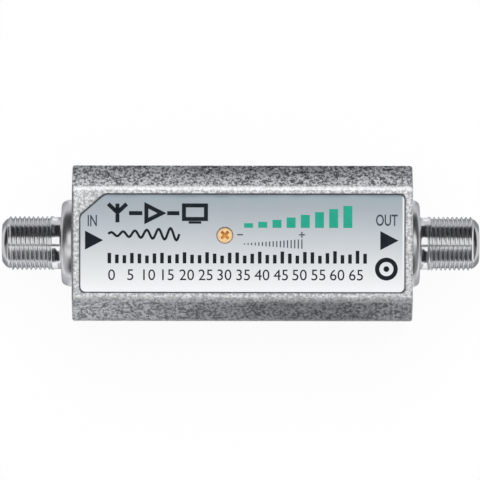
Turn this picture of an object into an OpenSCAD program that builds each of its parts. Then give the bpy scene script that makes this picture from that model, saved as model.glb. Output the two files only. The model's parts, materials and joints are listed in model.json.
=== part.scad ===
// In-line television signal amplifier: a cast case with sloped long edges holds a circuit board between
// two threaded coaxial sockets, and a gain trimmer is turned through a hole in the label.
// X runs from the input socket to the output socket, Y across the case and Z out of the label.
// The origin is the middle of the back. Sizes are in millimetres.

/* [Case] */
// Length of the case between its end faces
case_l = 59; // [54:0.5:80]
// Width of the case
case_w = 27; // [25:0.5:34]
// Depth of the case from back to front
case_d = 20; // [19:0.5:26]
// Width of the flat front face between the slopes
face_w = 19.2; // [18:0.1:21]
// Thickness of the long sides and slopes
side_wall = 1.6; // [1.2:0.1:2]
// Thickness of the front
front_wall = 1.8; // [1.4:0.1:2.2]
// Thickness of the ends
end_wall = 2; // [1.5:0.1:2.6]
// Rounding of the bends beside the front face
bend_r = 1.2; // [0.4:0.1:1.8]
// Rounding of the outer corners
edge_r = 0.5; // [0.2:0.1:1]

/* [Back cover] */
// Thickness of the back cover
cover_t = 1.2; // [0.8:0.1:1.5]
// Width of the ledge that the cover sits on
ledge_w = 0.7; // [0.4:0.1:0.9]
// Gap round the cover's edge
cover_gap = 0.05; // [0.02:0.01:0.15]
// Distance from the cover's edge to its stiffening bead
bead_inset = 3; // [2:0.5:5]
// Width of the bead
bead_w = 1; // [0.6:0.1:1.6]
// Depth of the bead
bead_sink = 0.4; // [0.2:0.1:0.6]

/* [Label] */
// Bare face left beside the label recess at each end
label_margin_l = 1.3; // [1:0.1:3]
// Bare face left beside the label recess along each bend
label_margin_w = 1; // [0.8:0.1:2]
// Depth of the label recess
label_sink = 0.35; // [0.2:0.05:0.5]
// Thickness of the label
label_t = 0.15; // [0.1:0.05:0.2]
// Gap between the label and the edge of its recess
label_gap = 0.2; // [0.1:0.05:0.4]
// Cut corner of the label, along its length
label_cut_l = 4.3; // [2:0.1:6]
// Cut corner of the label, across its width
label_cut_w = 3.7; // [2:0.1:6]
// Rounding of the label's other corners
label_r = 0.9; // [0.5:0.1:2]

/* [Sockets] */
// Outer diameter of the socket thread, for a 3/8 inch coaxial nut
thread_d = 9.4; // [9:0.1:10]
// Thread pitch, 32 turns to the inch
thread_pitch = 0.79375; // [0.7:0.00625:1]
// Number of thread crests
thread_crests = 10; // [7:1:11]
// Width of a thread groove at its crest
groove_w = 0.46; // [0.3:0.02:0.48]
// Length of the barrel outside its flange
barrel_l = 10.4; // [10.2:0.1:14]
// Length of the rounded nose in front of the thread
nose_l = 1.1; // [0.8:0.1:1.6]
// Diameter of the nose at the mouth
nose_d = 6.9; // [6.4:0.1:7.6]
// Diameter of the plain neck behind the thread
neck_d = 9.1; // [8.7:0.1:9.3]
// Fillet between the neck and the flange
neck_fillet = 0.35; // [0.1:0.05:0.5]
// Diameter of the flange against the case
flange_d = 15.2; // [12:0.1:16]
// Diameter of the flange's outer face
flange_face_d = 13.2; // [11:0.1:15]
// Thickness of the input socket's flange
input_flange_t = 2; // [1:0.1:3]
// Thickness of the output socket's flange
output_flange_t = 1.4; // [1:0.1:3]
// Diameter of the spigot that goes through the end of the case
spigot_d = 8; // [7.4:0.1:9]
// Bore of the socket round its front insulator
socket_bore_d = 5.2; // [4.8:0.1:5.6]
// Width of the step to the wider rear bore
bore_step = 0.4; // [0.2:0.05:0.5]
// Width of the lip that holds the front insulator
lip_w = 0.25; // [0.15:0.05:0.4]
// Depth of the lip at the mouth
lip_l = 0.6; // [0.4:0.1:1]
// Length of the front insulator
insulator_l = 6; // [4:0.5:7]
// Thickness of the insulator's guide in front of the contact
guide_t = 0.8; // [0.5:0.1:1]
// Diameter of the guide hole
guide_d = 1.4; // [1.3:0.05:1.8]
// Bore of the contact, for a 1.02 mm cable core
contact_bore_d = 1.08; // [1.05:0.01:1.2]
// Depth of the contact's bore
contact_bore_l = 6; // [4:0.5:7]
// Wall of the contact
contact_wall = 0.41; // [0.25:0.02:0.6]
// Width of the contact's collar
collar_w = 0.65; // [0.3:0.05:0.9]
// Thickness of the contact's collar
collar_t = 0.8; // [0.5:0.1:1.2]
// Thickness of the lock washer inside the case
washer_t = 0.6; // [0.4:0.1:1]
// Width of the lock washer's ring
washer_w = 1.6; // [1:0.1:2]
// Thickness of the nut inside the case
nut_t = 2.2; // [1.6:0.1:3]
// Wall of the nut at its flats
nut_wall = 1.5; // [1:0.1:2]
// Length of spigot left past the nut
spigot_over = 0.6; // [0.2:0.1:1.2]
// Length of insulator left past the spigot
insulator_over = 0.4; // [0.2:0.1:0.8]

/* [Circuit board] */
// Thickness of the board
board_t = 1.6; // [1:0.1:2]
// Height of the board's back above the socket axis
board_rise = 0.5; // [0.3:0.05:0.8]
// Gap between the board and the case's sides
board_gap = 0.7; // [0.3:0.1:1]
// Gap between the board's end and the socket's insulator
board_end_gap = 0.8; // [0.4:0.1:1.5]
// Length of the contact's tail that lies on the board
tail_lap = 3; // [2:0.5:5]
// Width of the contact's tail
tail_w = 1.2; // [0.8:0.1:1.6]
// Thickness of the contact's tail
tail_t = 0.6; // [0.4:0.1:0.8]
// Diameter of the posts that carry the board
post_d = 4; // [3.4:0.1:5]
// Distance from the board's end to a post's middle
post_inset_l = 3.4; // [2.8:0.1:5]
// Distance from the board's side to a post's middle
post_inset_w = 2.7; // [2.4:0.1:4]
// Diameter of the board screws' shanks
screw_d = 2; // [1.6:0.1:2.4]
// Length of the board screws
screw_l = 5; // [4:0.5:6]
// Diameter of the board screws' heads
screw_head_d = 4; // [3.2:0.1:4.6]
// Height of the board screws' heads
screw_head_h = 1.4; // [1:0.1:1.8]
// Depth of the screw holes past the screws' ends
screw_spare = 0.6; // [0.3:0.1:1]
// Width of the cross recess in the screws' heads
recess_w = 0.5; // [0.3:0.05:0.8]
// Length of the cross recess in the screws' heads
recess_l = 2.2; // [1.6:0.1:2.6]
// Depth of the cross recess in the screws' heads
recess_depth = 0.8; // [0.4:0.1:1]

/* [Gain trimmer] */
// Place of the trimmer along the case
trimmer_x = -3.03; // [-8:0.01:2]
// Place of the trimmer across the case
trimmer_y = 1.4; // [-2:0.1:3]
// Hole for the trimmer in the front of the case
trimmer_hole_d = 2.9; // [2.8:0.1:4]
// Diameter of the trimmer's stem
stem_d = 2.6; // [2:0.1:2.7]
// Distance from the label recess down to the stem's end
stem_drop = 0.3; // [0.1:0.05:1.2]
// Length of the cross slot in the stem
slot_l = 1.7; // [1.2:0.1:2]
// Width of the cross slot in the stem
slot_w = 0.5; // [0.3:0.05:0.7]
// Depth of the cross slot in the stem
slot_depth = 0.8; // [0.5:0.1:1.2]
// Side of the trimmer's square base
base_w = 8; // [7.6:0.1:9]
// Height of the trimmer's base
base_h = 3.9; // [3.4:0.1:4.4]
// Thickness of the base's floor
base_floor = 1.2; // [1:0.1:1.4]
// Diameter of the pocket in the base
pocket_d = 7.2; // [7:0.1:7.4]
// Thickness of the resistance element
element_t = 0.5; // [0.3:0.1:0.6]
// Gap round the resistance element
element_gap = 0.1; // [0.05:0.01:0.2]
// Thickness of the cap over the base
cap_t = 0.4; // [0.3:0.1:0.6]
// Diameter of the rotor's disc
rotor_d = 6; // [5.6:0.1:6.2]
// Diameter of the rotor's pivot
pivot_d = 1.4; // [1:0.1:1.6]
// Length of the pivot in the base's floor
pivot_seat = 0.5; // [0.3:0.1:0.7]
// Height of the wiper between the element and the disc
wiper_h = 0.55; // [0.4:0.05:0.7]
// Thickness of the wiper's strip
wiper_t = 0.2; // [0.1:0.05:0.3]
// Width of the wiper's arm
wiper_w = 1; // [0.6:0.1:1.4]
// Outer diameter of the wiper's ring
wiper_d = 3.6; // [2.6:0.1:4]
// Radial height of the lug on the disc
lug_h = 0.45; // [0.3:0.05:0.5]
// Angle of the lug on the disc
lug_arc = 24; // [16:1:30]
// Angle of the stop in the base
stop_arc = 100; // [80:1:110]
// Running gap between turning and fixed pieces
run_gap = 0.05; // [0.03:0.01:0.08]
// Diameter of the trimmer's terminals
terminal_d = 0.6; // [0.4:0.1:0.8]
// Length of a terminal or lead past the board
lead_over = 1; // [0.5:0.1:1.5]
// Distance between the trimmer's two track terminals
terminal_pitch = 5; // [4:0.1:5.6]
// Distance from the trimmer's middle to its terminals' rows
terminal_row = 3.2; // [2.6:0.1:3.4]

/* [Components] */
// Grid that the pieces on the board are laid out on
grid = 0.5; // [0.45:0.01:0.55]
// Place of the first transistor along the board
first_stage_x = -14; // [-15:0.5:-11]
// Place of the second transistor along the board
second_stage_x = 9; // [6:0.5:11]
// Length of a transistor
transistor_l = 4.5; // [3:0.1:5]
// Width of a transistor
transistor_w = 2.5; // [1.6:0.1:3]
// Height of a transistor
transistor_h = 1.5; // [1:0.1:1.8]
// Length of a transistor's leads
transistor_lead_l = 1; // [0.6:0.1:1.4]
// Width of a transistor's leads
transistor_lead_w = 0.5; // [0.3:0.05:0.7]
// Thickness of a transistor's leads
transistor_lead_t = 0.4; // [0.2:0.05:0.5]
// Length of a chip component
chip_l = 2; // [1:0.1:2.4]
// Width of a chip component
chip_w = 1.25; // [0.6:0.05:1.6]
// Height of a chip component
chip_h = 0.7; // [0.4:0.05:1]
// Outer diameter of the peaking coils
coil_d = 3; // [2.4:0.1:3.6]
// Length of the peaking coils
coil_l = 2.8; // [2:0.1:4]
// Diameter of the coil wire
wire_d = 0.5; // [0.3:0.05:0.6]
// Diameter of the choke's core
choke_d = 6; // [5:0.1:7]
// Height of the choke
choke_h = 6; // [5:0.1:6.4]
// Thickness of the choke core's flanges
choke_flange_t = 1; // [0.6:0.1:1.4]
// Diameter of the choke core's middle
choke_core_d = 3; // [2:0.1:4]
// Depth of the choke's flanges past its winding
choke_lap = 0.3; // [0.1:0.05:0.6]
// Length of the transformer's core
transformer_l = 7; // [6:0.1:8]
// Width of the transformer's core
transformer_w = 4.2; // [3:0.1:5]
// Height of the transformer's core
transformer_h = 4; // [3.4:0.1:5]
// Diameter of the two holes in the transformer's core
transformer_hole_d = 1.7; // [1.5:0.1:2]
// Distance between the holes in the transformer's core
transformer_pitch = 3.4; // [3:0.1:4]
// Diameter of the filter capacitor
capacitor_d = 5; // [4:0.1:6]
// Height of the filter capacitor
capacitor_h = 6.8; // [5:0.1:7]
// Distance between the filter capacitor's leads
capacitor_pitch = 2; // [1.5:0.1:2.5]
// Gap between a pressed-in or threaded piece and its hole
slip = 0.03; // [0.01:0.01:0.05]

/* [Hidden] */
$fn = 64;
// How far a cut runs past the face that it opens
over = 1;
// Straight share of a flange's edge, below its rounded rim
flange_edge = 0.12;
// Share of the nose's step that is left halfway along it
nose_bulge = 0.62;

socket_z = case_d / 2;
inner_w = case_w - 2 * side_wall;
inner_d = case_d - front_wall;
// The slopes lie at 45 degrees, and their wall is as thick as the sides
inner_face_w = face_w + 2 * front_wall - 2 * side_wall * sqrt(2);
cover_l = case_l - 2 * (end_wall - ledge_w + cover_gap);
cover_w = case_w - 2 * (side_wall - ledge_w + cover_gap);
recess_z = case_d - label_sink;
recess_l_mm = case_l - 2 * label_margin_l;
recess_w_mm = face_w - 2 * label_margin_w;

groove_depth = groove_w / 2 / tan(30);
root_d = thread_d - 2 * groove_depth;
crest_w = thread_pitch - groove_w;
thread_l = (thread_crests - 1) * thread_pitch + crest_w;
rear_bore_d = socket_bore_d + 2 * bore_step;
spigot_l = end_wall + washer_t + nut_t + spigot_over;
contact_d = contact_bore_d + 2 * contact_wall;
collar_d = contact_d + 2 * collar_w;
nut_af = spigot_d + 2 * nut_wall;

board_z = socket_z + board_rise;
board_top = board_z + board_t;
board_l = case_l - 2 * (spigot_l + insulator_over + board_end_gap);
board_w = inner_w - 2 * board_gap;
post_x = board_l / 2 - post_inset_l;
post_y = board_w / 2 - post_inset_w;

stem_top = recess_z - stem_drop - board_top;
disc_z = base_floor + element_t + wiper_h;
stop_h = base_h - disc_z;
terminal_seat = base_floor / 2;
winding_d = choke_d - 2 * choke_lap;
choke_lead_r = choke_d / 2 + wire_d;
transformer_y = transformer_w / 2 + wire_d;

// Places on the board: x, y and the direction that the piece lies in
board_y = board_w / 2;
CHIP_CAPACITORS = [[-36 * grid, 0, 0], [-19 * grid, board_y - 9.5 * grid, 90], [9 * grid, -4 * grid, 90],
    [28 * grid, 4 * grid, 0], [36 * grid, -4 * grid, 90], [-19 * grid, -6 * grid, 0]];
CHIP_RESISTORS = [[-28 * grid, board_y - 7.5 * grid, 0], [10 * grid, board_y - 11.5 * grid, 0],
    [18 * grid, board_y - 7.5 * grid, 90], [27 * grid, board_y - 8.5 * grid, 90],
    [8 * grid, 8.5 * grid - board_y, 0]];
COILS = [[-32 * grid, 13.5 * grid - board_y], [22 * grid, 11.5 * grid - board_y]];
CHOKE = [26 * grid, board_y - 12.5 * grid];
TRANSFORMER = [-18 * grid, 10.5 * grid - board_y];
CAPACITOR = [12 * grid, 11.5 * grid - board_y];
TERMINALS = [[-terminal_pitch / 2, -terminal_row], [terminal_pitch / 2, -terminal_row], [0, terminal_row]];
ENDS = [-1, 1];

module rounded(l, w, r) {
    polygon([for (q = [[1, 1], [-1, 1], [-1, -1], [1, -1]])
        each (q.x * q.y > 0 ? [[q.x * l / 2, q.y * (w / 2 - r)], [q.x * (l / 2 - r), q.y * w / 2]]
                            : [[q.x * (l / 2 - r), q.y * w / 2], [q.x * l / 2, q.y * (w / 2 - r)]])]);
    for (x = ENDS, y = ENDS) translate([x * (l / 2 - r), y * (w / 2 - r)]) circle(r);
}

// Cross-section of the case, back at the bottom, with the bends rounded
module case_section() {
    hw = case_w / 2;
    hf = face_w / 2;
    bend = case_d - hw + hf;
    tb = bend_r * tan(22.5);
    ts = edge_r * tan(22.5);
    k = cos(45);
    right = [[hw, 0], [hw, bend - ts], [hw - ts * k, bend + ts * k],
        [hf + tb * k, case_d - tb * k], [hf - tb, case_d]];
    polygon([each right, for (i = [len(right) - 1 : -1 : 0]) [-right[i].x, right[i].y]]);
    for (m = ENDS) {
        translate([m * (hf - tb), case_d - bend_r]) circle(bend_r);
        translate([m * (hw - edge_r), bend - ts]) circle(edge_r);
    }
}

module cavity_section() {
    hw = inner_w / 2;
    hf = inner_face_w / 2;
    bend = inner_d - hw + hf;
    polygon([[hw, -over], [hw, bend], [hf, inner_d], [-hf, inner_d], [-hw, bend], [-hw, -over]]);
}

module along_case(l) rotate([90, 0, 90]) translate([0, 0, -l / 2]) linear_extrude(l) children();

// A rectangle with one corner cut off and the others rounded
module label_outline(l, w, r) {
    polygon([[l / 2, r - w / 2], [l / 2, w / 2 - r], [l / 2 - r, w / 2], [label_cut_l - l / 2, w / 2],
        [-l / 2, w / 2 - label_cut_w], [-l / 2, r - w / 2], [r - l / 2, -w / 2], [l / 2 - r, -w / 2]]);
    for (c = [[1, 1], [1, -1], [-1, -1]]) translate([c.x * (l / 2 - r), c.y * (w / 2 - r)]) circle(r);
}

module at_posts() for (x = ENDS, y = ENDS) translate([x * post_x, y * post_y, 0]) children();

module at_trimmer() translate([trimmer_x, trimmer_y, board_top]) children();

module housing() {
    color([0.74, 0.74, 0.75]) difference() {
        union() {
            difference() {
                intersection() {
                    along_case(case_l) case_section();
                    linear_extrude(case_d) rounded(case_l, case_w, edge_r);
                }
                along_case(case_l - 2 * end_wall) cavity_section();
            }
            at_posts() translate([0, 0, board_top])
                cylinder(d = post_d, h = inner_d - board_top + front_wall / 4);
        }
        translate([0, 0, -over])
            linear_extrude(cover_t + over)
                square([cover_l + 2 * cover_gap, cover_w + 2 * cover_gap], center = true);
        for (m = ENDS) translate([m * (case_l - end_wall) / 2, 0, socket_z])
            rotate([0, 90, 0]) cylinder(d = spigot_d + 2 * slip, h = end_wall + 2 * over, center = true);
        translate([0, 0, recess_z])
            linear_extrude(label_sink + over) label_outline(recess_l_mm, recess_w_mm, label_r);
        translate([trimmer_x, trimmer_y, inner_d - over])
            cylinder(d = trimmer_hole_d, h = front_wall + 2 * over);
        at_posts() translate([0, 0, board_top - over])
            cylinder(d = screw_d + 2 * slip, h = screw_l - board_t + over + screw_spare);
    }
}

// A band that follows the cover's edge, from one distance inside it to another
module cover_band(from, to) {
    difference() {
        rounded(cover_l - 2 * from, cover_w - 2 * from, bead_inset / 2);
        rounded(cover_l - 2 * to, cover_w - 2 * to, bead_inset / 2);
    }
}

module back_cover() {
    color([0.7, 0.71, 0.72]) difference() {
        union() {
            linear_extrude(cover_t) square([cover_l, cover_w], center = true);
            linear_extrude(cover_t + bead_sink) cover_band(bead_inset, bead_inset + bead_w);
        }
        translate([0, 0, -over]) linear_extrude(over + bead_sink)
            cover_band(bead_inset + bead_w / 4, bead_inset + bead_w * 3 / 4);
    }
}

module label() {
    color([0.78, 0.8, 0.82]) translate([0, 0, recess_z]) linear_extrude(label_t) difference() {
        label_outline(recess_l_mm - 2 * label_gap, recess_w_mm - 2 * label_gap, label_r);
        translate([trimmer_x, trimmer_y]) circle(d = trimmer_hole_d);
    }
}

// A socket's pieces are turned shapes whose height is measured outward from the end face of the case
module on_output() translate([case_l / 2, 0, socket_z]) rotate([0, 90, 0]) children();
module on_input() rotate([0, 0, 180]) on_output() children();

function mouth(flange_t) = flange_t + barrel_l;
function step_at(flange_t) = mouth(flange_t) - lip_l - insulator_l;
function tip_at(flange_t) = mouth(flange_t) - lip_l - guide_t - slip;

module socket(flange_t) {
    m = mouth(flange_t);
    t0 = m - nose_l - groove_w / 2;
    root = root_d / 2;
    nose = nose_d / 2;
    edge = spigot_over / 2;
    bore = socket_bore_d / 2;
    rotate_extrude() polygon([
        [rear_bore_d / 2, -spigot_l], [spigot_d / 2 - edge, -spigot_l],
        [spigot_d / 2, edge - spigot_l], [spigot_d / 2, 0],
        for (a = [0 : 15 : 90])
            [flange_face_d / 2 + (flange_d - flange_face_d) / 2 * cos(a),
                a == 0 ? 0 : flange_t * (flange_edge + (1 - flange_edge) * sin(a))],
        for (a = [90 : -30 : 0])
            [neck_d / 2 + neck_fillet * (1 - cos(a)), flange_t + neck_fillet * (1 - sin(a))],
        [neck_d / 2, t0 - thread_l - groove_w / 2 - neck_fillet], [root, t0 - thread_l - groove_w / 2],
        for (i = [thread_crests - 1 : -1 : 0])
            each [[thread_d / 2, t0 - i * thread_pitch - crest_w], [thread_d / 2, t0 - i * thread_pitch],
                [root, t0 - i * thread_pitch + groove_w / 2]],
        [nose + (root - nose) * nose_bulge, m - nose_l / 2], [nose, m - nose_l / 12], [nose - nose_l / 8, m],
        [bore - lip_w, m], [bore - lip_w, m - lip_l], [bore, m - lip_l],
        [bore, step_at(flange_t)], [rear_bore_d / 2, step_at(flange_t)]]);
}

module front_insulator(flange_t) {
    front = mouth(flange_t) - lip_l;
    back = step_at(flange_t);
    r = socket_bore_d / 2 - slip;
    hole = contact_d / 2 + slip;
    rotate_extrude() polygon([[hole, back], [r, back], [r, front], [guide_d / 2 + guide_t / 2, front],
        [guide_d / 2, front - guide_t / 2], [guide_d / 2, front - guide_t], [hole, front - guide_t]]);
}

module rear_insulator(flange_t) {
    front = step_at(flange_t);
    back = -spigot_l - insulator_over;
    r = rear_bore_d / 2 - slip;
    hole = contact_d / 2 + slip;
    collar = collar_d / 2 + slip;
    rotate_extrude() polygon([[hole, back], [r, back], [r, front], [collar, front],
        [collar, front - collar_t], [hole, front - collar_t]]);
}

module contact(flange_t) {
    tip = tip_at(flange_t);
    front = step_at(flange_t);
    back = -spigot_l - insulator_over - board_end_gap / 2;
    r = contact_d / 2;
    bore = contact_bore_d / 2;
    end = case_l / 2 - board_l / 2 + tail_lap;
    union() {
        rotate_extrude() polygon([[0, back], [r, back], [r, front - collar_t],
            [collar_d / 2, front - collar_t], [collar_d / 2, front], [r, front], [r, tip], [bore, tip],
            [bore, tip - contact_bore_l], [0, tip - contact_bore_l]]);
        translate([-board_rise, -tail_w / 2, -end]) cube([tail_t, tail_w, end + back + board_end_gap / 4]);
    }
}

module washer() translate([0, 0, -end_wall - washer_t]) difference() {
    cylinder(d = spigot_d + 2 * (slip + washer_w), h = washer_t);
    translate([0, 0, -over]) cylinder(d = spigot_d + 2 * slip, h = washer_t + 2 * over);
}

module nut() translate([0, 0, -end_wall - washer_t - nut_t]) difference() {
    cylinder(r = nut_af / sqrt(3), h = nut_t, $fn = 6);
    translate([0, 0, -over]) cylinder(d = spigot_d + 2 * slip, h = nut_t + 2 * over);
}

module input_socket() color([0.8, 0.8, 0.81]) on_input() socket(input_flange_t);
module input_front_insulator() color([0.93, 0.91, 0.84]) on_input() front_insulator(input_flange_t);
module input_rear_insulator() color([0.93, 0.91, 0.84]) on_input() rear_insulator(input_flange_t);
module input_contact() color([0.85, 0.72, 0.4]) on_input() contact(input_flange_t);
module input_washer() color([0.75, 0.75, 0.76]) on_input() washer();
module input_nut() color([0.78, 0.78, 0.79]) on_input() nut();
module output_socket() color([0.8, 0.8, 0.81]) on_output() socket(output_flange_t);
module output_front_insulator() color([0.93, 0.91, 0.84]) on_output() front_insulator(output_flange_t);
module output_rear_insulator() color([0.93, 0.91, 0.84]) on_output() rear_insulator(output_flange_t);
module output_contact() color([0.85, 0.72, 0.4]) on_output() contact(output_flange_t);
module output_washer() color([0.75, 0.75, 0.76]) on_output() washer();
module output_nut() color([0.78, 0.78, 0.79]) on_output() nut();

module board_hole(d) translate([0, 0, board_z - over]) cylinder(d = d, h = board_t + 2 * over);

module circuit_board() {
    lead_hole = wire_d + 4 * run_gap;
    color([0.1, 0.38, 0.2]) difference() {
        translate([-board_l / 2, -board_w / 2, board_z]) cube([board_l, board_w, board_t]);
        at_posts() board_hole(screw_d + 4 * run_gap);
        for (p = TERMINALS) translate([trimmer_x + p.x, trimmer_y + p.y, 0])
            board_hole(terminal_d + 4 * run_gap);
        for (c = COILS, m = ENDS) translate([c.x + m * (coil_l - wire_d) / 2, c.y, 0]) board_hole(lead_hole);
        for (m = ENDS) {
            translate([CHOKE.x + m * choke_lead_r, CHOKE.y, 0]) board_hole(lead_hole);
            translate([TRANSFORMER.x + m * transformer_pitch / 2, TRANSFORMER.y - transformer_y, 0])
                board_hole(lead_hole);
            translate([CAPACITOR.x + m * capacitor_pitch / 2, CAPACITOR.y, 0]) board_hole(lead_hole);
        }
    }
}

module board_screws() {
    color([0.72, 0.72, 0.7]) at_posts() difference() {
        union() {
            translate([0, 0, board_z - screw_head_h]) cylinder(d = screw_head_d, h = screw_head_h);
            translate([0, 0, board_z - screw_head_h / 2])
                cylinder(d = screw_d, h = screw_l + screw_head_h / 2);
        }
        for (a = [0, 90]) rotate([0, 0, a])
            translate([-recess_l / 2, -recess_w / 2, board_z - screw_head_h - over])
                cube([recess_l, recess_w, recess_depth + over]);
    }
}

module trimmer_base() {
    pocket = pocket_d / 2;
    inner = rotor_d / 2 + 2 * run_gap;
    color([0.1, 0.1, 0.11]) at_trimmer() difference() {
        union() {
            difference() {
                translate([-base_w / 2, -base_w / 2, 0]) cube([base_w, base_w, base_h]);
                translate([0, 0, base_floor]) cylinder(r = pocket, h = base_h);
            }
            translate([0, 0, disc_z]) rotate([0, 0, -90 - stop_arc / 2]) rotate_extrude(angle = stop_arc)
                translate([inner, 0]) square([(pocket + base_w / 2) / 2 - inner, stop_h]);
        }
        translate([0, 0, base_floor - pivot_seat - run_gap]) cylinder(d = pivot_d + 2 * run_gap, h = base_h);
        for (p = TERMINALS) translate([p.x, p.y, -over])
            cylinder(d = terminal_d + 2 * slip, h = terminal_seat + over + slip);
    }
}

module trimmer_element() {
    color([0.25, 0.22, 0.2]) at_trimmer() translate([0, 0, base_floor]) difference() {
        cylinder(r = pocket_d / 2 - element_gap, h = element_t);
        translate([0, 0, -over]) cylinder(d = pivot_d + 4 * run_gap, h = element_t + 2 * over);
    }
}

module trimmer_terminals() {
    color([0.8, 0.8, 0.78]) at_trimmer() for (p = TERMINALS)
        translate([p.x, p.y, -board_t - lead_over])
            cylinder(d = terminal_d, h = board_t + lead_over + terminal_seat);
}

module trimmer_cap() {
    color([0.75, 0.75, 0.76]) at_trimmer() translate([0, 0, base_h]) difference() {
        translate([-base_w / 2, -base_w / 2, 0]) cube([base_w, base_w, cap_t]);
        translate([0, 0, -over]) cylinder(d = stem_d + 2 * run_gap, h = cap_t + 2 * over);
    }
}

module trimmer_rotor() {
    color([0.95, 0.6, 0.2]) at_trimmer() difference() {
        union() {
            translate([0, 0, base_floor - pivot_seat])
                cylinder(d = pivot_d, h = disc_z - base_floor + pivot_seat + over);
            translate([0, 0, disc_z]) cylinder(d = rotor_d, h = stop_h - run_gap);
            translate([0, 0, disc_z]) cylinder(d = stem_d, h = stem_top - disc_z);
            translate([0, 0, disc_z + 2 * run_gap]) rotate([0, 0, 90 - lug_arc / 2])
                rotate_extrude(angle = lug_arc)
                    translate([rotor_d / 2 - lug_h, 0]) square([2 * lug_h, stop_h - 4 * run_gap]);
        }
        for (a = [45, 135]) rotate([0, 0, a])
            translate([-slot_l / 2, -slot_w / 2, stem_top - slot_depth])
                cube([slot_l, slot_w, slot_depth + over]);
    }
}

module trimmer_wiper() {
    foot_z = base_floor + element_t + run_gap;
    reach = rotor_d / 2 - 4 * run_gap;
    foot_l = wiper_w / 2;
    color([0.86, 0.7, 0.38]) at_trimmer() difference() {
        union() {
            translate([0, 0, disc_z - wiper_t]) cylinder(d = wiper_d, h = wiper_t);
            translate([-wiper_w / 2, pivot_d / 2, disc_z - wiper_t])
                cube([wiper_w, reach - pivot_d / 2, wiper_t]);
            translate([-wiper_w / 2, reach - foot_l, foot_z]) cube([wiper_w, foot_l, disc_z - foot_z]);
        }
        cylinder(d = pivot_d + 2 * run_gap, h = base_h);
    }
}

module at_transistors()
    for (x = [first_stage_x, second_stage_x]) translate([x, trimmer_y, board_top]) children();

module transistors() {
    color([0.08, 0.08, 0.09]) at_transistors()
        translate([-transistor_l / 2, -transistor_w / 2, 0]) cube([transistor_l, transistor_w, transistor_h]);
}

module transistor_leads() {
    lead_y = transistor_w / 2 + transistor_lead_l;
    color([0.8, 0.8, 0.78]) at_transistors() {
        for (i = [-1 : 1])
            translate([i * transistor_l / 3 - transistor_lead_w / 2, -lead_y, 0])
                cube([transistor_lead_w, transistor_lead_l, transistor_lead_t]);
        translate([-transistor_l / 4, transistor_w / 2, 0])
            cube([transistor_l / 2, transistor_lead_l, transistor_lead_t]);
    }
}

module chips(places) for (c = places) translate([c.x, c.y, board_top]) rotate([0, 0, c.z])
    translate([-chip_l / 2, -chip_w / 2, 0]) cube([chip_l, chip_w, chip_h]);

module chip_capacitors() color([0.72, 0.6, 0.45]) chips(CHIP_CAPACITORS);
module chip_resistors() color([0.12, 0.13, 0.15]) chips(CHIP_RESISTORS);

module peaking_coils() {
    axis_z = coil_d / 2 + run_gap;
    color([0.72, 0.42, 0.24]) for (c = COILS) translate([c.x, c.y, board_top]) difference() {
        union() {
            translate([-coil_l / 2, 0, axis_z]) rotate([0, 90, 0]) cylinder(d = coil_d, h = coil_l);
            for (m = ENDS) translate([m * (coil_l - wire_d) / 2, 0, -board_t - lead_over])
                cylinder(d = wire_d, h = board_t + lead_over + wire_d);
        }
        translate([-coil_l / 2 - over, 0, axis_z]) rotate([0, 90, 0])
            cylinder(d = coil_d - 2 * wire_d, h = coil_l + 2 * over);
    }
}

// The choke, transformer and filter capacitor stand on the back of the board
module on_back(p) translate([p.x, p.y, board_z]) rotate([180, 0, 0]) children();

module choke_core() {
    r = choke_d / 2;
    core = choke_core_d / 2;
    color([0.16, 0.16, 0.17]) on_back(CHOKE) rotate_extrude() polygon([[0, 0], [r, 0],
        [r, choke_flange_t], [core, choke_flange_t],
        [core, choke_h - choke_flange_t], [r, choke_h - choke_flange_t], [r, choke_h], [0, choke_h]]);
}

module choke_winding() {
    gap_h = choke_h - 2 * choke_flange_t;
    color([0.72, 0.42, 0.24]) on_back(CHOKE) {
        union() {
            difference() {
                translate([0, 0, choke_flange_t]) cylinder(d = winding_d, h = gap_h);
                cylinder(d = choke_core_d + 2 * slip, h = choke_h);
            }
            for (m = ENDS) {
                translate([m * (winding_d / 2 - wire_d), 0, choke_flange_t + gap_h / 2])
                    rotate([0, m * 90, 0]) cylinder(d = wire_d, h = choke_lead_r - winding_d / 2 + wire_d);
                translate([m * choke_lead_r, 0, -board_t - lead_over])
                    cylinder(d = wire_d, h = board_t + lead_over + choke_flange_t + gap_h / 2 + wire_d / 2);
            }
        }
    }
}

module transformer_core() {
    color([0.2, 0.2, 0.21]) on_back(TRANSFORMER) difference() {
        translate([-transformer_l / 2, -transformer_w / 2, 0])
            cube([transformer_l, transformer_w, transformer_h]);
        for (m = ENDS) translate([m * transformer_pitch / 2, -transformer_w / 2 - over, transformer_h / 2])
            rotate([-90, 0, 0]) cylinder(d = transformer_hole_d, h = transformer_w + 2 * over);
    }
}

module transformer_winding() {
    color([0.72, 0.42, 0.24]) on_back(TRANSFORMER) translate([0, 0, transformer_h / 2]) for (m = ENDS)
        translate([m * transformer_pitch / 2, 0, 0]) {
            translate([0, -transformer_y, 0]) rotate([-90, 0, 0]) cylinder(d = wire_d, h = 2 * transformer_y);
            translate([0, -transformer_y, 0]) sphere(d = wire_d);
            translate([0, -transformer_y, 0]) rotate([0, -m * 90, 0])
                cylinder(d = wire_d, h = transformer_pitch / 2 + wire_d / 4);
            translate([0, transformer_y, 0]) sphere(d = wire_d);
            translate([0, transformer_y, -transformer_h / 2 - board_t - lead_over])
                cylinder(d = wire_d, h = transformer_h / 2 + board_t + lead_over);
        }
}

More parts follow.
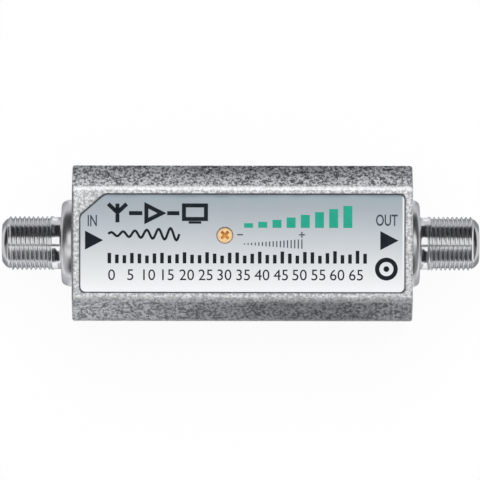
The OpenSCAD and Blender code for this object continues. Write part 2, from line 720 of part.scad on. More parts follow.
module filter_capacitor() {
    r = capacitor_d / 2;
    color([0.12, 0.14, 0.25]) on_back(CAPACITOR) rotate_extrude() polygon([[0, 0], [r - wire_d / 2, 0],
        [r, wire_d / 2], [r, 2 * wire_d], [r - wire_d / 2, 3 * wire_d], [r, 4 * wire_d],
        [r, capacitor_h - wire_d / 2], [r - wire_d / 2, capacitor_h], [0, capacitor_h]]);
}

module capacitor_leads() {
    color([0.8, 0.8, 0.78]) on_back(CAPACITOR) for (m = ENDS)
        translate([m * capacitor_pitch / 2, 0, -board_t - lead_over])
            cylinder(d = wire_d, h = board_t + lead_over);
}

housing();
back_cover();
label();
input_socket();
input_front_insulator();
input_rear_insulator();
input_contact();
input_washer();
input_nut();
output_socket();
output_front_insulator();
output_rear_insulator();
output_contact();
output_washer();
output_nut();
circuit_board();
board_screws();
trimmer_base();
trimmer_element();
trimmer_terminals();
trimmer_cap();
trimmer_rotor();
trimmer_wiper();
transistors();
transistor_leads();
chip_capacitors();
chip_resistors();
peaking_coils();
choke_core();
choke_winding();
transformer_core();
transformer_winding();
filter_capacitor();
capacitor_leads();
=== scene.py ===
"""Dress an in-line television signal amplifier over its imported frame.

The cast case, its cover, the label and its print, the two coaxial sockets and the trimmer's rotor are
modelled here in millimetres and set down in metres. The pieces shut inside the case keep the frame's
solids and get their finishes here.
"""

import json
import logging
import math
from collections.abc import Callable, Iterator, Sequence
from contextlib import contextmanager
from dataclasses import dataclass, field
from enum import Enum
from functools import cached_property
from itertools import pairwise
from typing import ClassVar

import bmesh
import bpy
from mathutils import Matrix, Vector

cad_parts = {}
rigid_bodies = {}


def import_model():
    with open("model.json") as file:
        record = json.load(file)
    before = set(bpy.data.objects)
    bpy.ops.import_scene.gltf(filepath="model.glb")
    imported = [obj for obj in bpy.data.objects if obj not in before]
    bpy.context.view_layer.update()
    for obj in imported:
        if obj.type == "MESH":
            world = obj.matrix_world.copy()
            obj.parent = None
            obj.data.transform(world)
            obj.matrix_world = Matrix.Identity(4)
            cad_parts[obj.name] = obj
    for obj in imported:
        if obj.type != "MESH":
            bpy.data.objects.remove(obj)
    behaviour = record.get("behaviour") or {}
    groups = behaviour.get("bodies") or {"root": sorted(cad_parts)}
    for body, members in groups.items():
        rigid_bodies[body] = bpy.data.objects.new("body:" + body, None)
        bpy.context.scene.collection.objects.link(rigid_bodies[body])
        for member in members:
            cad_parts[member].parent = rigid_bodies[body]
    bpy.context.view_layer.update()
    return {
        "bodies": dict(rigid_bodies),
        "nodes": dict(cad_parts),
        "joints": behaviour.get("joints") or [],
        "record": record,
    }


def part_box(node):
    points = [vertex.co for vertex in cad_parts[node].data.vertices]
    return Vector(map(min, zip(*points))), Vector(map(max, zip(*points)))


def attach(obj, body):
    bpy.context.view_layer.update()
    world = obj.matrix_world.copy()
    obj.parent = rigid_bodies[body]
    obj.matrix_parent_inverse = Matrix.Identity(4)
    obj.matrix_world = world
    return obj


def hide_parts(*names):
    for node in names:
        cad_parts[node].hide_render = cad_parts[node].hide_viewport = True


LOG = logging.getLogger("amplifier")
MM = 0.001
MERGE = 1e-4
LEVEL = 0.9
STEEP = 0.5
SPIGOT_R = 4.0
TRIMMER_HOLE_R = 1.45

Point = tuple[float, float]
Place = tuple[float, float, float]
Colour = tuple[float, float, float, float]
Stops = tuple[tuple[float, Colour], ...]
Sockets = dict[str | int, object]
Piece = bpy.types.Object
Edge = bmesh.types.BMEdge
ORIGIN: Place = (0.0, 0.0, 0.0)
WHITE: Colour = (1.0, 1.0, 1.0, 1.0)


def srgb(red: int, green: int, blue: int) -> Colour:
    """Turn a colour as a screen shows it into the linear one that shaders use.

    Args:
        red: Red from 0 to 255.
        green: Green from 0 to 255.
        blue: Blue from 0 to 255.

    Returns:
        The linear colour with full alpha.
    """
    shown = (red / 255, green / 255, blue / 255)
    linear = [c / 12.92 if c <= 0.04045 else ((c + 0.055) / 1.055) ** 2.4 for c in shown]
    return (*linear, 1.0)


def near(first: float, second: float) -> bool:
    """Tell whether two lengths are the same, apart from rounding."""
    return abs(first - second) < MERGE


def stands_at(*spots: Place) -> Callable[[bmesh.types.BMVert], bool]:
    """Make a test for the vertices at some places."""
    return lambda vert: any((vert.co - Vector(spot)).length < MERGE for spot in spots)


def both_ends(test: Callable[[Vector], bool]) -> Callable[[Edge], bool]:
    """Make a test for the edges whose two ends pass a test of their place."""
    return lambda edge: all(test(vert.co) for vert in edge.verts)


def quarter(steps: int) -> list[float]:
    """List the angles of a quarter turn that is taken in even steps."""
    return [math.pi / 2 * step / steps for step in range(steps + 1)]


class Part(Enum):
    """Kind of mesh element that a selection picks."""

    VERT = "VERT"
    EDGE = "EDGE"
    FACE = "FACE"


class Carving(Enum):
    """What a tool does to the piece that it is put to."""

    CUT = "DIFFERENCE"
    JOIN = "UNION"


class Body(Enum):
    """Body of the frame that a piece rides on."""

    CASE = "case"
    TRIMMER = "trimmer"


class Ink(Enum):
    """Colour of one layer of the label's print."""

    DARK = "dark"
    GREY = "grey"
    TEAL = "teal"


class End(Enum):
    """End of the case, by the signal that passes there."""

    INPUT = "input"
    OUTPUT = "output"

    @property
    def outward(self) -> int:
        """Sign of the way out of the case along X."""
        return -1 if self is End.INPUT else 1


@dataclass(frozen=True)
class Box:
    """Lowest and highest corners of a frame node, in millimetres."""

    low: Vector
    high: Vector

    @classmethod
    def of(cls, node: str) -> "Box":
        """Read a node's box from the frame."""
        low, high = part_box(node)
        return cls(low / MM, high / MM)

    @property
    def size(self) -> Vector:
        """Extent along each axis."""
        return self.high - self.low

    @property
    def centre(self) -> Vector:
        """Middle of the box."""
        return (self.high + self.low) / 2


class Bench:
    """Operator calls that shape one piece at a time."""

    @staticmethod
    def clear() -> None:
        """Go back to object mode with nothing selected."""
        if bpy.context.object is not None and bpy.context.object.mode != "OBJECT":
            bpy.ops.object.mode_set(mode="OBJECT")
        bpy.ops.object.select_all(action="DESELECT")

    @staticmethod
    def take(*pieces: Piece) -> None:
        """Select some pieces alone and make the first one active.

        Args:
            pieces: The pieces to select.
        """
        Bench.clear()
        for piece in pieces:
            piece.select_set(True)
        bpy.context.view_layer.objects.active = pieces[0]

    @staticmethod
    def add(operator: Callable[..., set[str]], **settings: object) -> Piece:
        """Add an object with nothing else selected.

        Args:
            operator: The operator that adds it.
            settings: The operator's own settings.

        Returns:
            The new object.
        """
        Bench.clear()
        operator(**settings)
        return bpy.context.object

    @staticmethod
    def fix(piece: Piece) -> Piece:
        """Put a piece's place, turn and scale into its mesh.

        Args:
            piece: The piece as it was moved, turned and scaled.

        Returns:
            The same piece.
        """
        Bench.take(piece)
        bpy.ops.object.transform_apply(location=True, rotation=True, scale=True)
        return piece

    @staticmethod
    def place(piece: Piece, location: Place, rotation: Place = ORIGIN) -> None:
        """Turn and move a piece, with the result in its mesh."""
        piece.location, piece.rotation_euler = location, rotation
        Bench.fix(piece)

    @staticmethod
    def block(size: Place, centre: Place) -> Piece:
        """Add a box to start from."""
        return Bench.fix(Bench.add(bpy.ops.mesh.primitive_cube_add, size=1.0, location=centre, scale=size))

    @staticmethod
    def sheet(size: Point, centre: Place) -> Piece:
        """Add a flat rectangle to start from.

        Args:
            size: Extent along X and Y.
            centre: Middle of the rectangle.

        Returns:
            The new object, with its place in its mesh.
        """
        piece = Bench.add(bpy.ops.mesh.primitive_plane_add, size=1.0, location=centre)
        piece.scale = (*size, 1.0)
        return Bench.fix(piece)

    @staticmethod
    def rod(radius: float, start: Place, end: Place, sides: int = 64) -> Piece:
        """Add a round rod to cut or join with.

        Args:
            radius: Radius of the rod.
            start: Middle of one end.
            end: Middle of the other end.
            sides: Number of sides.

        Returns:
            The new object, with its place in its mesh.
        """
        axis = Vector(end) - Vector(start)
        piece = Bench.add(
            bpy.ops.mesh.primitive_cylinder_add,
            vertices=sides,
            radius=radius,
            depth=axis.length,
            location=(Vector(start) + Vector(end)) / 2,
            rotation=axis.to_track_quat("Z", "Y").to_euler(),
        )
        return Bench.fix(piece)

    @staticmethod
    @contextmanager
    def editing(piece: Piece, part: Part) -> Iterator[None]:
        """Open a piece in edit mode with all of it selected, and close it again.

        Args:
            piece: The object to shape.
            part: Kind of element to select.

        Yields:
            Nothing; the operators act on the open mesh.
        """
        Bench.take(piece)
        bpy.ops.object.mode_set(mode="EDIT")
        bpy.ops.mesh.select_mode(type=part.value)
        bpy.ops.mesh.select_all(action="SELECT")
        yield
        bpy.ops.object.mode_set(mode="OBJECT")

    @staticmethod
    def pick(piece: Piece, part: Part, test: Callable[..., bool]) -> None:
        """Select the elements of an open mesh that pass a test.

        Args:
            piece: The object that is open in edit mode.
            part: Kind of element to look through.
            test: Takes one element and says whether it is wanted.
        """
        bpy.ops.mesh.select_mode(type=part.value)
        bpy.ops.mesh.select_all(action="DESELECT")
        mesh = bmesh.from_edit_mesh(piece.data)
        elements = {Part.VERT: mesh.verts, Part.EDGE: mesh.edges, Part.FACE: mesh.faces}[part]
        for element in [element for element in elements if test(element)]:
            element.select_set(True)
        mesh.select_flush_mode()
        bmesh.update_edit_mesh(piece.data)

    @staticmethod
    def round_off(
        piece: Piece, test: Callable[..., bool], offset: float, segments: int, part: Part = Part.EDGE
    ) -> None:
        """Bevel the edges or corners of an open mesh that pass a test.

        Args:
            piece: The object that is open in edit mode.
            test: Takes one edge or corner and says whether it is wanted.
            offset: Distance from the old edge or corner to the new ones.
            segments: Number of segments.
            part: Edges, or vertices for the corners of a flat shape.
        """
        Bench.pick(piece, part, test)
        affect = "VERTICES" if part is Part.VERT else "EDGES"
        bpy.ops.mesh.bevel(offset=offset, segments=segments, profile=0.5, affect=affect, clamp_overlap=False)

    @staticmethod
    def reshape(piece: Piece, move: Callable[[Vector], None]) -> None:
        """Move the vertices of a piece one by one.

        Args:
            piece: The object to shape.
            move: Takes a vertex's place and changes it.
        """
        with Bench.editing(piece, Part.VERT):
            mesh = bmesh.from_edit_mesh(piece.data)
            for vert in mesh.verts:
                move(vert.co)
            bmesh.update_edit_mesh(piece.data)

    @staticmethod
    def pull(step: Place) -> None:
        """Extrude what is selected by a step."""
        bpy.ops.mesh.extrude_region_move(TRANSFORM_OT_translate={"value": step})

    @staticmethod
    def chain(points: Sequence[Place], closed: bool = False) -> Piece:
        """Draw a line of vertices, starting from a plane that is merged to a point.

        Args:
            points: The line's points in order.
            closed: Whether the last point joins the first.

        Returns:
            An object of edges alone.
        """
        line = Bench.sheet((1.0, 1.0), ORIGIN)
        with Bench.editing(line, Part.VERT):
            bpy.ops.mesh.merge(type="CENTER")
            bpy.ops.transform.translate(value=points[0])
            for here, there in pairwise(points):
                step = Vector(there) - Vector(here)
                bpy.ops.mesh.extrude_vertices_move(TRANSFORM_OT_translate={"value": step})
            if closed:
                Bench.pick(line, Part.VERT, stands_at(points[0], points[-1]))
                bpy.ops.mesh.edge_face_add()
        return line

    @staticmethod
    def turn(outline: Sequence[Point], steps: int, closed: bool) -> Piece:
        """Spin an outline about the Z axis into a turned piece.

        Args:
            outline: Radius and height of each point.
            steps: Number of steps in the full turn.
            closed: Whether the outline is a ring that stays clear of the axis.

        Returns:
            The turned object, closed and facing outward.
        """
        piece = Bench.chain([(radius, 0.0, height) for radius, height in outline], closed)
        with Bench.editing(piece, Part.VERT):
            bpy.ops.mesh.spin(steps=steps, angle=math.tau, center=ORIGIN, axis=(0.0, 0.0, 1.0))
            Bench.heal()
        return piece

    @staticmethod
    def heal() -> None:
        """Merge the doubles of the open mesh and face it outward."""
        bpy.ops.mesh.select_all(action="SELECT")
        bpy.ops.mesh.remove_doubles(threshold=MERGE)
        bpy.ops.mesh.normals_make_consistent(inside=False)

    @staticmethod
    def apply(piece: Piece, kind: str, **settings: object) -> None:
        """Add a modifier with its settings and apply it.

        Args:
            piece: The object that gets the modifier.
            kind: The modifier's type.
            settings: The modifier's own properties.
        """
        modifier = piece.modifiers.new(kind.title(), kind)
        for name, value in settings.items():
            setattr(modifier, name, value)
        Bench.take(piece)
        bpy.ops.object.modifier_apply(modifier=modifier.name)

    @staticmethod
    def carve(piece: Piece, tool: Piece, how: Carving = Carving.CUT) -> None:
        """Cut a tool out of a piece, or join it on, and throw the tool away."""
        Bench.apply(piece, "BOOLEAN", operation=how.value, solver="EXACT", object=tool)
        bpy.data.objects.remove(tool, do_unlink=True)

    @staticmethod
    def soften(piece: Piece, width: float, past_deg: float) -> None:
        """Bevel all edges that are sharper than an angle."""
        angle = math.radians(past_deg)
        Bench.apply(piece, "BEVEL", width=width, segments=2, limit_method="ANGLE", angle_limit=angle)

    @staticmethod
    def settle(piece: Piece, name: str, crease_deg: float = 35.0) -> Piece:
        """Finish a piece: merge it, face it outward, bring it to metres and shade it.

        Args:
            piece: The object in millimetres.
            name: The piece's name.
            crease_deg: Angle past which an edge stays sharp.

        Returns:
            The finished object.
        """
        piece.name = name
        piece.data.name = name
        with Bench.editing(piece, Part.VERT):
            Bench.heal()
        piece.scale = (MM, MM, MM)
        Bench.fix(piece)
        bpy.ops.object.shade_smooth_by_angle(angle=math.radians(crease_deg))
        Bench.apply(piece, "WEIGHTED_NORMAL", weight=80, keep_sharp=True)
        return piece


class Wire:
    """An output socket whose arithmetic adds Math nodes to its tree."""

    def __init__(self, tree: "Tree", socket: bpy.types.NodeSocket) -> None:
        """Hold a socket and the tree that it belongs to."""
        self.tree = tree
        self.socket = socket

    def math(self, operation: str, left: "Wire | float", right: "Wire | float" = 0.0) -> "Wire":
        """Add one Math node."""
        return self.tree.node("ShaderNodeMath", {"operation": operation}, {0: left, 1: right})

    def __add__(self, other: "Wire | float") -> "Wire":
        """Add."""
        return self.math("ADD", self, other)

    def __radd__(self, other: float) -> "Wire":
        """Add to a number."""
        return self.math("ADD", other, self)

    def __sub__(self, other: "Wire | float") -> "Wire":
        """Subtract."""
        return self.math("SUBTRACT", self, other)

    def __rsub__(self, other: float) -> "Wire":
        """Subtract from a number."""
        return self.math("SUBTRACT", other, self)

    def __mul__(self, other: "Wire | float") -> "Wire":
        """Multiply."""
        return self.math("MULTIPLY", self, other)

    def __rmul__(self, other: float) -> "Wire":
        """Multiply a number."""
        return self.math("MULTIPLY", other, self)

    def __pow__(self, other: float) -> "Wire":
        """Raise to a power."""
        return self.math("POWER", self, other)

    def __neg__(self) -> "Wire":
        """Turn the sign round."""
        return self.math("SUBTRACT", 0.0, self)

    def __abs__(self) -> "Wire":
        """Drop the sign."""
        return self.math("ABSOLUTE", self)

    def larger(self, other: "Wire | float") -> "Wire":
        """Take the larger of two values."""
        return self.math("MAXIMUM", self, other)

    def rise(self, low: float, high: float) -> "Wire":
        """Rise smoothly from 0 at one value to 1 at a higher one."""
        inputs = {"Value": self, "From Min": low, "From Max": high}
        return self.tree.node("ShaderNodeMapRange", {"interpolation_type": "SMOOTHSTEP"}, inputs)

    def fall(self, low: float, high: float) -> "Wire":
        """Fall smoothly from 1 at one value to 0 at a higher one."""
        return 1.0 - self.rise(low, high)


@dataclass(frozen=True)
class Grain:
    """Soft noise: lumps to a millimetre, finer layers, and how much closer it lies along each axis."""

    per_mm: float
    detail: float = 2.0
    stretch: Place | None = None


class Tree:
    """A node tree that is built up from expressions, with places in millimetres."""

    def __init__(self, tree: bpy.types.NodeTree) -> None:
        """Start from an empty tree."""
        self.tree = tree
        tree.nodes.clear()

    def node(
        self,
        kind: str,
        settings: dict[str, object] | None = None,
        inputs: Sockets | None = None,
        out: str | int = 0,
    ) -> Wire | None:
        """Add a node.

        Args:
            kind: The node's type.
            settings: Its own properties, which are set first; stops fills a colour ramp.
            inputs: Values or wires for its input sockets.
            out: The output socket that is wanted.

        Returns:
            The output as a wire, or None for a node without outputs.
        """
        made = self.tree.nodes.new(kind)
        for name, value in (settings or {}).items():
            if name == "stops":
                self._fill_ramp(made.color_ramp, value)
            else:
                setattr(made, name, value)
        for key, value in (inputs or {}).items():
            if isinstance(value, Wire):
                self.tree.links.new(value.socket, made.inputs[key])
            else:
                made.inputs[key].default_value = value
        return Wire(self, made.outputs[out]) if made.outputs else None

    @staticmethod
    def _fill_ramp(ramp: bpy.types.ColorRamp, stops: Stops) -> None:
        """Set the stops of a colour ramp.

        Args:
            ramp: The ramp, which starts with two stops.
            stops: Position and colour of each stop.
        """
        while len(ramp.elements) < len(stops):
            ramp.elements.new(1.0)
        for element, (position, colour) in zip(ramp.elements, stops):
            element.position = position
            element.color = colour

    def vector(self, operation: str, inputs: Sockets, out: str = "Vector") -> Wire:
        """Add one Vector Math node."""
        return self.node("ShaderNodeVectorMath", {"operation": operation}, inputs, out)

    @cached_property
    def place(self) -> Wire:
        """Place on the piece."""
        return self.scale(self.node("ShaderNodeTexCoord", out="Object"), 1 / MM)

    def along(self, axis: str) -> Wire:
        """Give one coordinate of the place."""
        return self.node("ShaderNodeSeparateXYZ", None, {0: self.place}, axis)

    def off_axis(self, centre: Place, across: Place) -> Wire:
        """Give the distance from an axis through a point, with 1 for each axis that lies across it."""
        apart = self.vector("SUBTRACT", {0: self.place, 1: centre})
        return self.vector("LENGTH", {0: self.vector("MULTIPLY", {0: apart, 1: across})}, "Value")

    def scale(self, value: Wire, factor: Wire | float) -> Wire:
        """Multiply a colour or a place by a factor."""
        return self.vector("SCALE", {0: value, "Scale": factor})

    def noise(self, grain: Grain) -> Wire:
        """Give soft noise.

        Args:
            grain: Its size, detail and stretch.

        Returns:
            The noise, from 0 to 1.
        """
        place = self.place
        if grain.stretch:
            place = self.vector("MULTIPLY", {0: place, 1: grain.stretch})
        inputs = {"Vector": place, "Scale": grain.per_mm, "Detail": grain.detail, "Roughness": 0.55}
        return self.node("ShaderNodeTexNoise", {"noise_dimensions": "3D"}, inputs)

    def mix(self, share: Wire | float, first: Wire | Colour, second: Wire | Colour) -> Wire:
        """Mix two colours by a share."""
        return self.node("ShaderNodeMix", {"data_type": "RGBA"}, {0: share, 6: first, 7: second}, 2)

    def ramp(self, share: Wire, stops: Stops) -> Wire:
        """Run a value through a colour ramp."""
        return self.node("ShaderNodeValToRGB", {"stops": stops}, {0: share})

    def relief(self, height: Wire, depth_mm: float) -> Wire:
        """Turn a height from 0 to 1 into a bumped normal."""
        return self.node("ShaderNodeBump", None, {"Height": height, "Distance": depth_mm * MM}, "Normal")

    def glow(self, colour: Wire | Colour) -> Wire:
        """Give a shader that shows a colour as it is."""
        return self.node("ShaderNodeEmission", None, {"Color": colour, "Strength": 1.0})


def coat(name: str, shader: Callable[[Tree], Wire]) -> bpy.types.Material:
    """Make a material.

    Args:
        name: The material's name.
        shader: Takes the material's tree and builds its shader there.

    Returns:
        The material.
    """
    made = bpy.data.materials.new(name)
    made.use_nodes = True
    tree = Tree(made.node_tree)
    tree.node("ShaderNodeOutputMaterial", None, {"Surface": shader(tree)})
    return made


@dataclass(frozen=True)
class Finish:
    """A surface that dresses one or more pieces."""

    name: str

    def sockets(self, tree: Tree) -> Sockets:
        """Give the shader's socket values; each kind of finish has its own."""
        raise NotImplementedError

    def shader(self, tree: Tree) -> Wire:
        """Build the finish's shader."""
        return tree.node("ShaderNodeBsdfPrincipled", None, self.sockets(tree))

    def dress(self, piece: Piece) -> None:
        """Put the finish on a piece in place of any other.

        Args:
            piece: The piece to dress.
        """
        name = f"{self.name}_finish"
        piece.data.materials.clear()
        piece.data.materials.append(bpy.data.materials.get(name) or coat(name, self.shader))


@dataclass(frozen=True)
class CastMetal(Finish):
    """Plated casting with a grain of small bright and dark lumps, bright on its front, with painted shade on
    its slopes and painted light along its front's bends.

    A band is the pair of values between which a look comes or goes. Heights count from the front, or from
    the slopes' foot or the label where the name says so. Lengths count from the ends, or from the middle for
    the bands of the painted reflection.
    """

    case: Box
    label: Box
    face_light: Colour
    face_dark: Colour
    # slope_light and slope_dark are the face's metal painted darker, as shade on the slopes.
    slope_light: Colour
    slope_dark: Colour
    wall_light: Colour
    wall_dark: Colour
    # The next colour is painted shade in the narrow gap round the label.
    seam_shade: Colour
    # The next colour is a painted highlight along the bends beside the front, mostly the upper one.
    ridge: Colour
    # The next colour is a painted dark reflection along the input end's rim.
    rim: Colour
    lumps: Grain = Grain(2.0, 3.0)
    sand: Grain = Grain(5.2)
    patches: Grain = Grain(0.8)
    clouds: Grain = Grain(0.12)
    # Grain of the painted glints on the slopes.
    glints: Grain = Grain(1.9)
    peak_band: Point = (0.39, 0.61)
    glint_band: Point = (0.62, 0.72)
    slope_h: float = 3.9
    middle_w: float = 1.0
    # Band where the face's colour takes over from the slopes' painted shade.
    face_band: Point = (-0.9, -0.05)
    ridge_band: Point = (-0.4, -0.14)
    crest_band: Point = (-0.016, -0.002)
    rim_band: Point = (-0.6, -0.35)
    rim_end_band: Point = (-0.4, -0.15)
    end_band: Point = (-0.25, -0.05)
    foot_wall_band: Point = (-0.5, -0.1)
    # The next eight values shape the painted shade and painted reflection on the slopes.
    foot_lip_h: float = 0.6
    fade_top: float = 0.1
    reflection_foot: float = 1.0
    reflection_top: float = 0.8
    reflection_left_band: Point = (-12.0, 34.0)
    reflection_right_band: Point = (18.0, 30.0)
    reflection_middle_x: float = 3.0
    reflection_ends_band: Point = (4.0, 28.0)
    seam_w: float = 0.3
    seam_edge: float = 0.1
    seam_floor_band: Point = (-0.95, -0.85)
    seam_lift: Point = (0.05, 0.06)
    ridge_edge: float = 0.4
    depth_mm: float = 0.12
    metal: float = 0.6
    rough: float = 0.26

    def sockets(self, tree: Tree) -> Sockets:
        """Grain the metal, paint shade onto its slopes, a highlight, glints and a dark rim reflection near
        the front, and paint shade into the narrow gap round the label.

        Args:
            tree: The material's node tree.

        Returns:
            The shader's socket values.
        """
        x, y, z = (tree.along(axis) for axis in "XYZ")
        up = z - self.case.high.z
        past_end = abs(x) - self.case.high.x
        past_seam = abs(y) - (self.label.high.y + self.seam_w)
        past_seam_end = abs(x) - (self.label.high.x + self.seam_w)
        upper = y.rise(-self.middle_w, self.middle_w)

        height = 0.7 * tree.noise(self.lumps) + 0.3 * tree.noise(self.sand)
        peaks = (height + 0.25 * (tree.noise(self.patches) - 0.5)).rise(*self.peak_band)
        wall = tree.mix(peaks, self.wall_dark, self.wall_light)
        face = tree.mix(peaks, self.face_dark, self.face_light)
        under = (up + self.slope_h).fall(*self.foot_wall_band)
        slope = tree.mix(past_end.rise(*self.end_band).larger(under), self._slope(tree, peaks, upper), wall)
        # Painted highlight along the bends beside the front, mostly on the upper side.
        ridge = up.rise(*self.ridge_band) * up.fall(*self.crest_band)
        ridge = ridge * past_seam.rise(0.0, self.ridge_edge) * (0.15 + 0.85 * upper)
        # The face's colour takes over from the slopes' painted shade.
        metal = tree.mix(up.rise(*self.face_band), slope, face)
        metal = tree.mix(ridge * (0.55 + 0.4 * peaks), metal, self.ridge)
        # Painted dark reflection along the rim of the input end.
        left = (-x - self.case.high.x).rise(*self.rim_end_band)
        metal = tree.mix(0.8 * left * up.rise(*self.rim_band), metal, self.rim)

        # Painted shade in the narrow gap round the label, which also loses its metal and gloss.
        floor, top = self.label.low.z, self.label.high.z
        gap = z.fall(floor + self.seam_lift[0], top + self.seam_lift[1])
        gap = gap * (z - floor).rise(*self.seam_floor_band)
        gap = gap * past_seam.fall(0.0, self.seam_edge) * past_seam_end.fall(0.0, self.seam_edge)
        clouds = tree.noise(self.clouds)
        return {
            "Base Color": tree.mix(gap, metal, self.seam_shade),
            "Metallic": self.metal * (1.0 - gap) * (1.0 - 0.65 * ridge),
            "Roughness": self.rough + 0.12 * clouds + 0.2 * (1.0 - peaks) + 0.3 * gap,
            "Normal": tree.relief(height, self.depth_mm),
        }

    def _slope(self, tree: Tree, peaks: Wire, upper: Wire) -> Wire:
        """Colour the two slopes with painted shade and painted reflections, paler towards their ends.

        Args:
            tree: The material's node tree.
            peaks: The grain, from 0 in its pits to 1 on its lumps.
            upper: 1 on the upper slope and 0 on the lower one.

        Returns:
            The slopes' colour.
        """
        x = tree.along("X")
        over_foot = tree.along("Z") - (self.case.high.z - self.slope_h)
        foot = over_foot.fall(0.0, self.foot_lip_h)
        # Painted shade: the upper slope grows lighter towards the bend and darker at its foot.
        fade = upper * (0.95 * over_foot.rise(0.0, self.slope_h - self.fade_top) ** 1.4 - 0.2)
        fade = fade - 0.16 * upper * foot
        # Painted reflection: the slopes turn paler towards their ends.
        reflection_low = 0.9 * (-x).rise(*self.reflection_left_band) + 0.35 * x.rise(*self.reflection_right_band) - 0.22
        reflection_high = 0.32 * abs(x - self.reflection_middle_x).rise(*self.reflection_ends_band) - 0.12
        reflection_high = reflection_high * over_foot.fall(self.reflection_foot, self.slope_h - self.reflection_top)
        reflection = reflection_low + upper * (reflection_high - reflection_low)
        grain = 0.5 + (peaks - 0.5) * (0.7 + 0.3 * upper)
        slope = tree.scale(tree.mix(grain, self.slope_dark, self.slope_light), 0.95 + fade + reflection)
        # Painted light: the lower slope turns paler at its foot.
        slope = tree.mix(0.75 * (1.0 - upper) * foot, slope, self.face_dark)
        # Painted glints, brighter on the upper slope.
        glints = tree.noise(self.glints).rise(*self.glint_band)
        return tree.mix(glints * (0.3 + 0.4 * upper), slope, self.face_light)


@dataclass(frozen=True)
class TurnedMetal(Finish):
    """Bright plated metal with fine lines left by turning about an axis along X."""

    light: Colour
    dark: Colour
    edge: Colour
    axis_z: float
    middle_x: float = -0.3
    nose_x: float = 40.5
    nose_l: float = 0.3
    root_r: float = 4.36
    crest_r: float = 4.62
    bore_band: Point = (-0.3, -0.1)
    flange_band: Point = (0.4, 1.0)
    lines: Grain = Grain(9.0, 3.0, (1.0, 0.02, 0.02))
    stains: Grain = Grain(0.5, 3.0)
    stain_band: Point = (0.5, 0.8)
    depth_mm: float = 0.003
    rough: float = 0.09

    def sockets(self, tree: Tree) -> Sockets:
        """Draw turning lines and faint stains, and paint shade into the thread's roots and onto the flange
        and the nose.

        Args:
            tree: The material's node tree.

        Returns:
            The shader's socket values.
        """
        stains = tree.noise(self.stains)
        radius = tree.off_axis((0.0, 0.0, self.axis_z), (0.0, 1.0, 1.0))
        roots = radius.fall(self.root_r, self.crest_r) * (radius - self.root_r).rise(*self.bore_band)
        flange = (radius - self.crest_r).rise(*self.flange_band)
        nose = abs(tree.along("X") - self.middle_x).rise(self.nose_x, self.nose_x + self.nose_l)
        # Painted shade in the thread's roots and on the flange and nose, with faint real stains.
        stains_and_shade = 0.1 * roots + 0.04 * stains.rise(*self.stain_band) + 0.05 * flange + 0.5 * nose
        return {
            "Base Color": tree.mix(stains_and_shade, self.light, self.dark),
            "Metallic": 1.0,
            "Roughness": self.rough + 0.08 * stains + 0.06 * roots + 0.18 * flange,
            "Normal": tree.relief(tree.noise(self.lines), self.depth_mm),
            "Specular Tint": self.edge,
        }


@dataclass(frozen=True)
class SheetMetal(Finish):
    """Rolled or drawn metal with fine lines along one way and faint stains."""

    light: Colour
    dark: Colour
    lines: Grain = Grain(1.0, 4.0, (0.08, 6.0, 6.0))
    scratches: Grain = Grain(1.4, 1.0, (0.25, 2.5, 1.0))
    scratch_band: Point = (0.66, 0.72)
    stains: Grain = Grain(0.16, 4.0)
    stain_band: Point = (0.4, 0.75)
    depth_mm: float = 0.004
    rough: float = 0.28

    def sockets(self, tree: Tree) -> Sockets:
        """Draw the rolling lines, stains and a few scratches.

        Args:
            tree: The material's node tree.

        Returns:
            The shader's socket values.
        """
        lines = tree.noise(self.lines)
        stains = tree.noise(self.stains)
        scratches = tree.noise(self.scratches).rise(*self.scratch_band)
        shade = 0.45 * stains.rise(*self.stain_band) + 0.2 * lines
        return {
            "Base Color": tree.mix(shade, self.light, self.dark),
            "Metallic": 1.0,
            "Roughness": self.rough + 0.14 * stains + 0.12 * lines - 0.08 * scratches,
            "Normal": tree.relief(lines + 0.6 * scratches, self.depth_mm),
        }


@dataclass(frozen=True)
class Film(Finish):
    """Satin label film that shades from its lower edge to its upper edge, with a painted shadow along its
    upper edge and a pale right margin.
    """

    label: Box
    stops: Stops
    margin: Colour
    margin_w: float = 0.3
    margin_edge: float = 0.06
    mottle: Grain = Grain(0.22, 3.0)
    grain: Grain = Grain(14.0)
    depth_mm: float = 0.002
    rough: float = 0.4
    gloss: float = 0.3

    def sockets(self, tree: Tree) -> Sockets:
        """Shade the film across its width, with a faint mottle and grain.

        Args:
            tree: The material's node tree.

        Returns:
            The shader's socket values.
        """
        mottle = tree.noise(self.mottle)
        share = (tree.along("Y") - self.label.low.y) * (1.0 / self.label.size.y) + 0.05 * (mottle - 0.5)
        past_margin = tree.along("X") - (self.label.high.x - self.margin_w)
        bare = past_margin.rise(-self.margin_edge, self.margin_edge)
        return {
            "Base Color": tree.mix(bare, tree.ramp(share, self.stops), self.margin),
            "Roughness": self.rough + 0.1 * mottle,
            "Normal": tree.relief(tree.noise(self.grain), self.depth_mm),
            "Specular IOR Level": self.gloss,
        }


@dataclass(frozen=True)
class Moulded(Finish):
    """Moulded plastic, ceramic, ink or enamel with a fine grain and slightly uneven colour."""

    light: Colour
    dark: Colour
    clouds: Grain = Grain(0.6, 3.0)
    cloud_band: Point = (0.3, 0.7)
    grain: Grain = Grain(8.0)
    depth_mm: float = 0.006
    rough: float = 0.45
    gloss: float = 0.5

    def sockets(self, tree: Tree) -> Sockets:
        """Cloud the colour and grain the surface.

        Args:
            tree: The material's node tree.

        Returns:
            The shader's socket values.
        """
        clouds = tree.noise(self.clouds).rise(*self.cloud_band)
        grain = tree.noise(self.grain)
        return {
            "Base Color": tree.mix(clouds, self.light, self.dark),
            "Roughness": self.rough + 0.15 * grain,
            "Normal": tree.relief(grain, self.depth_mm),
            "Specular IOR Level": self.gloss,
        }


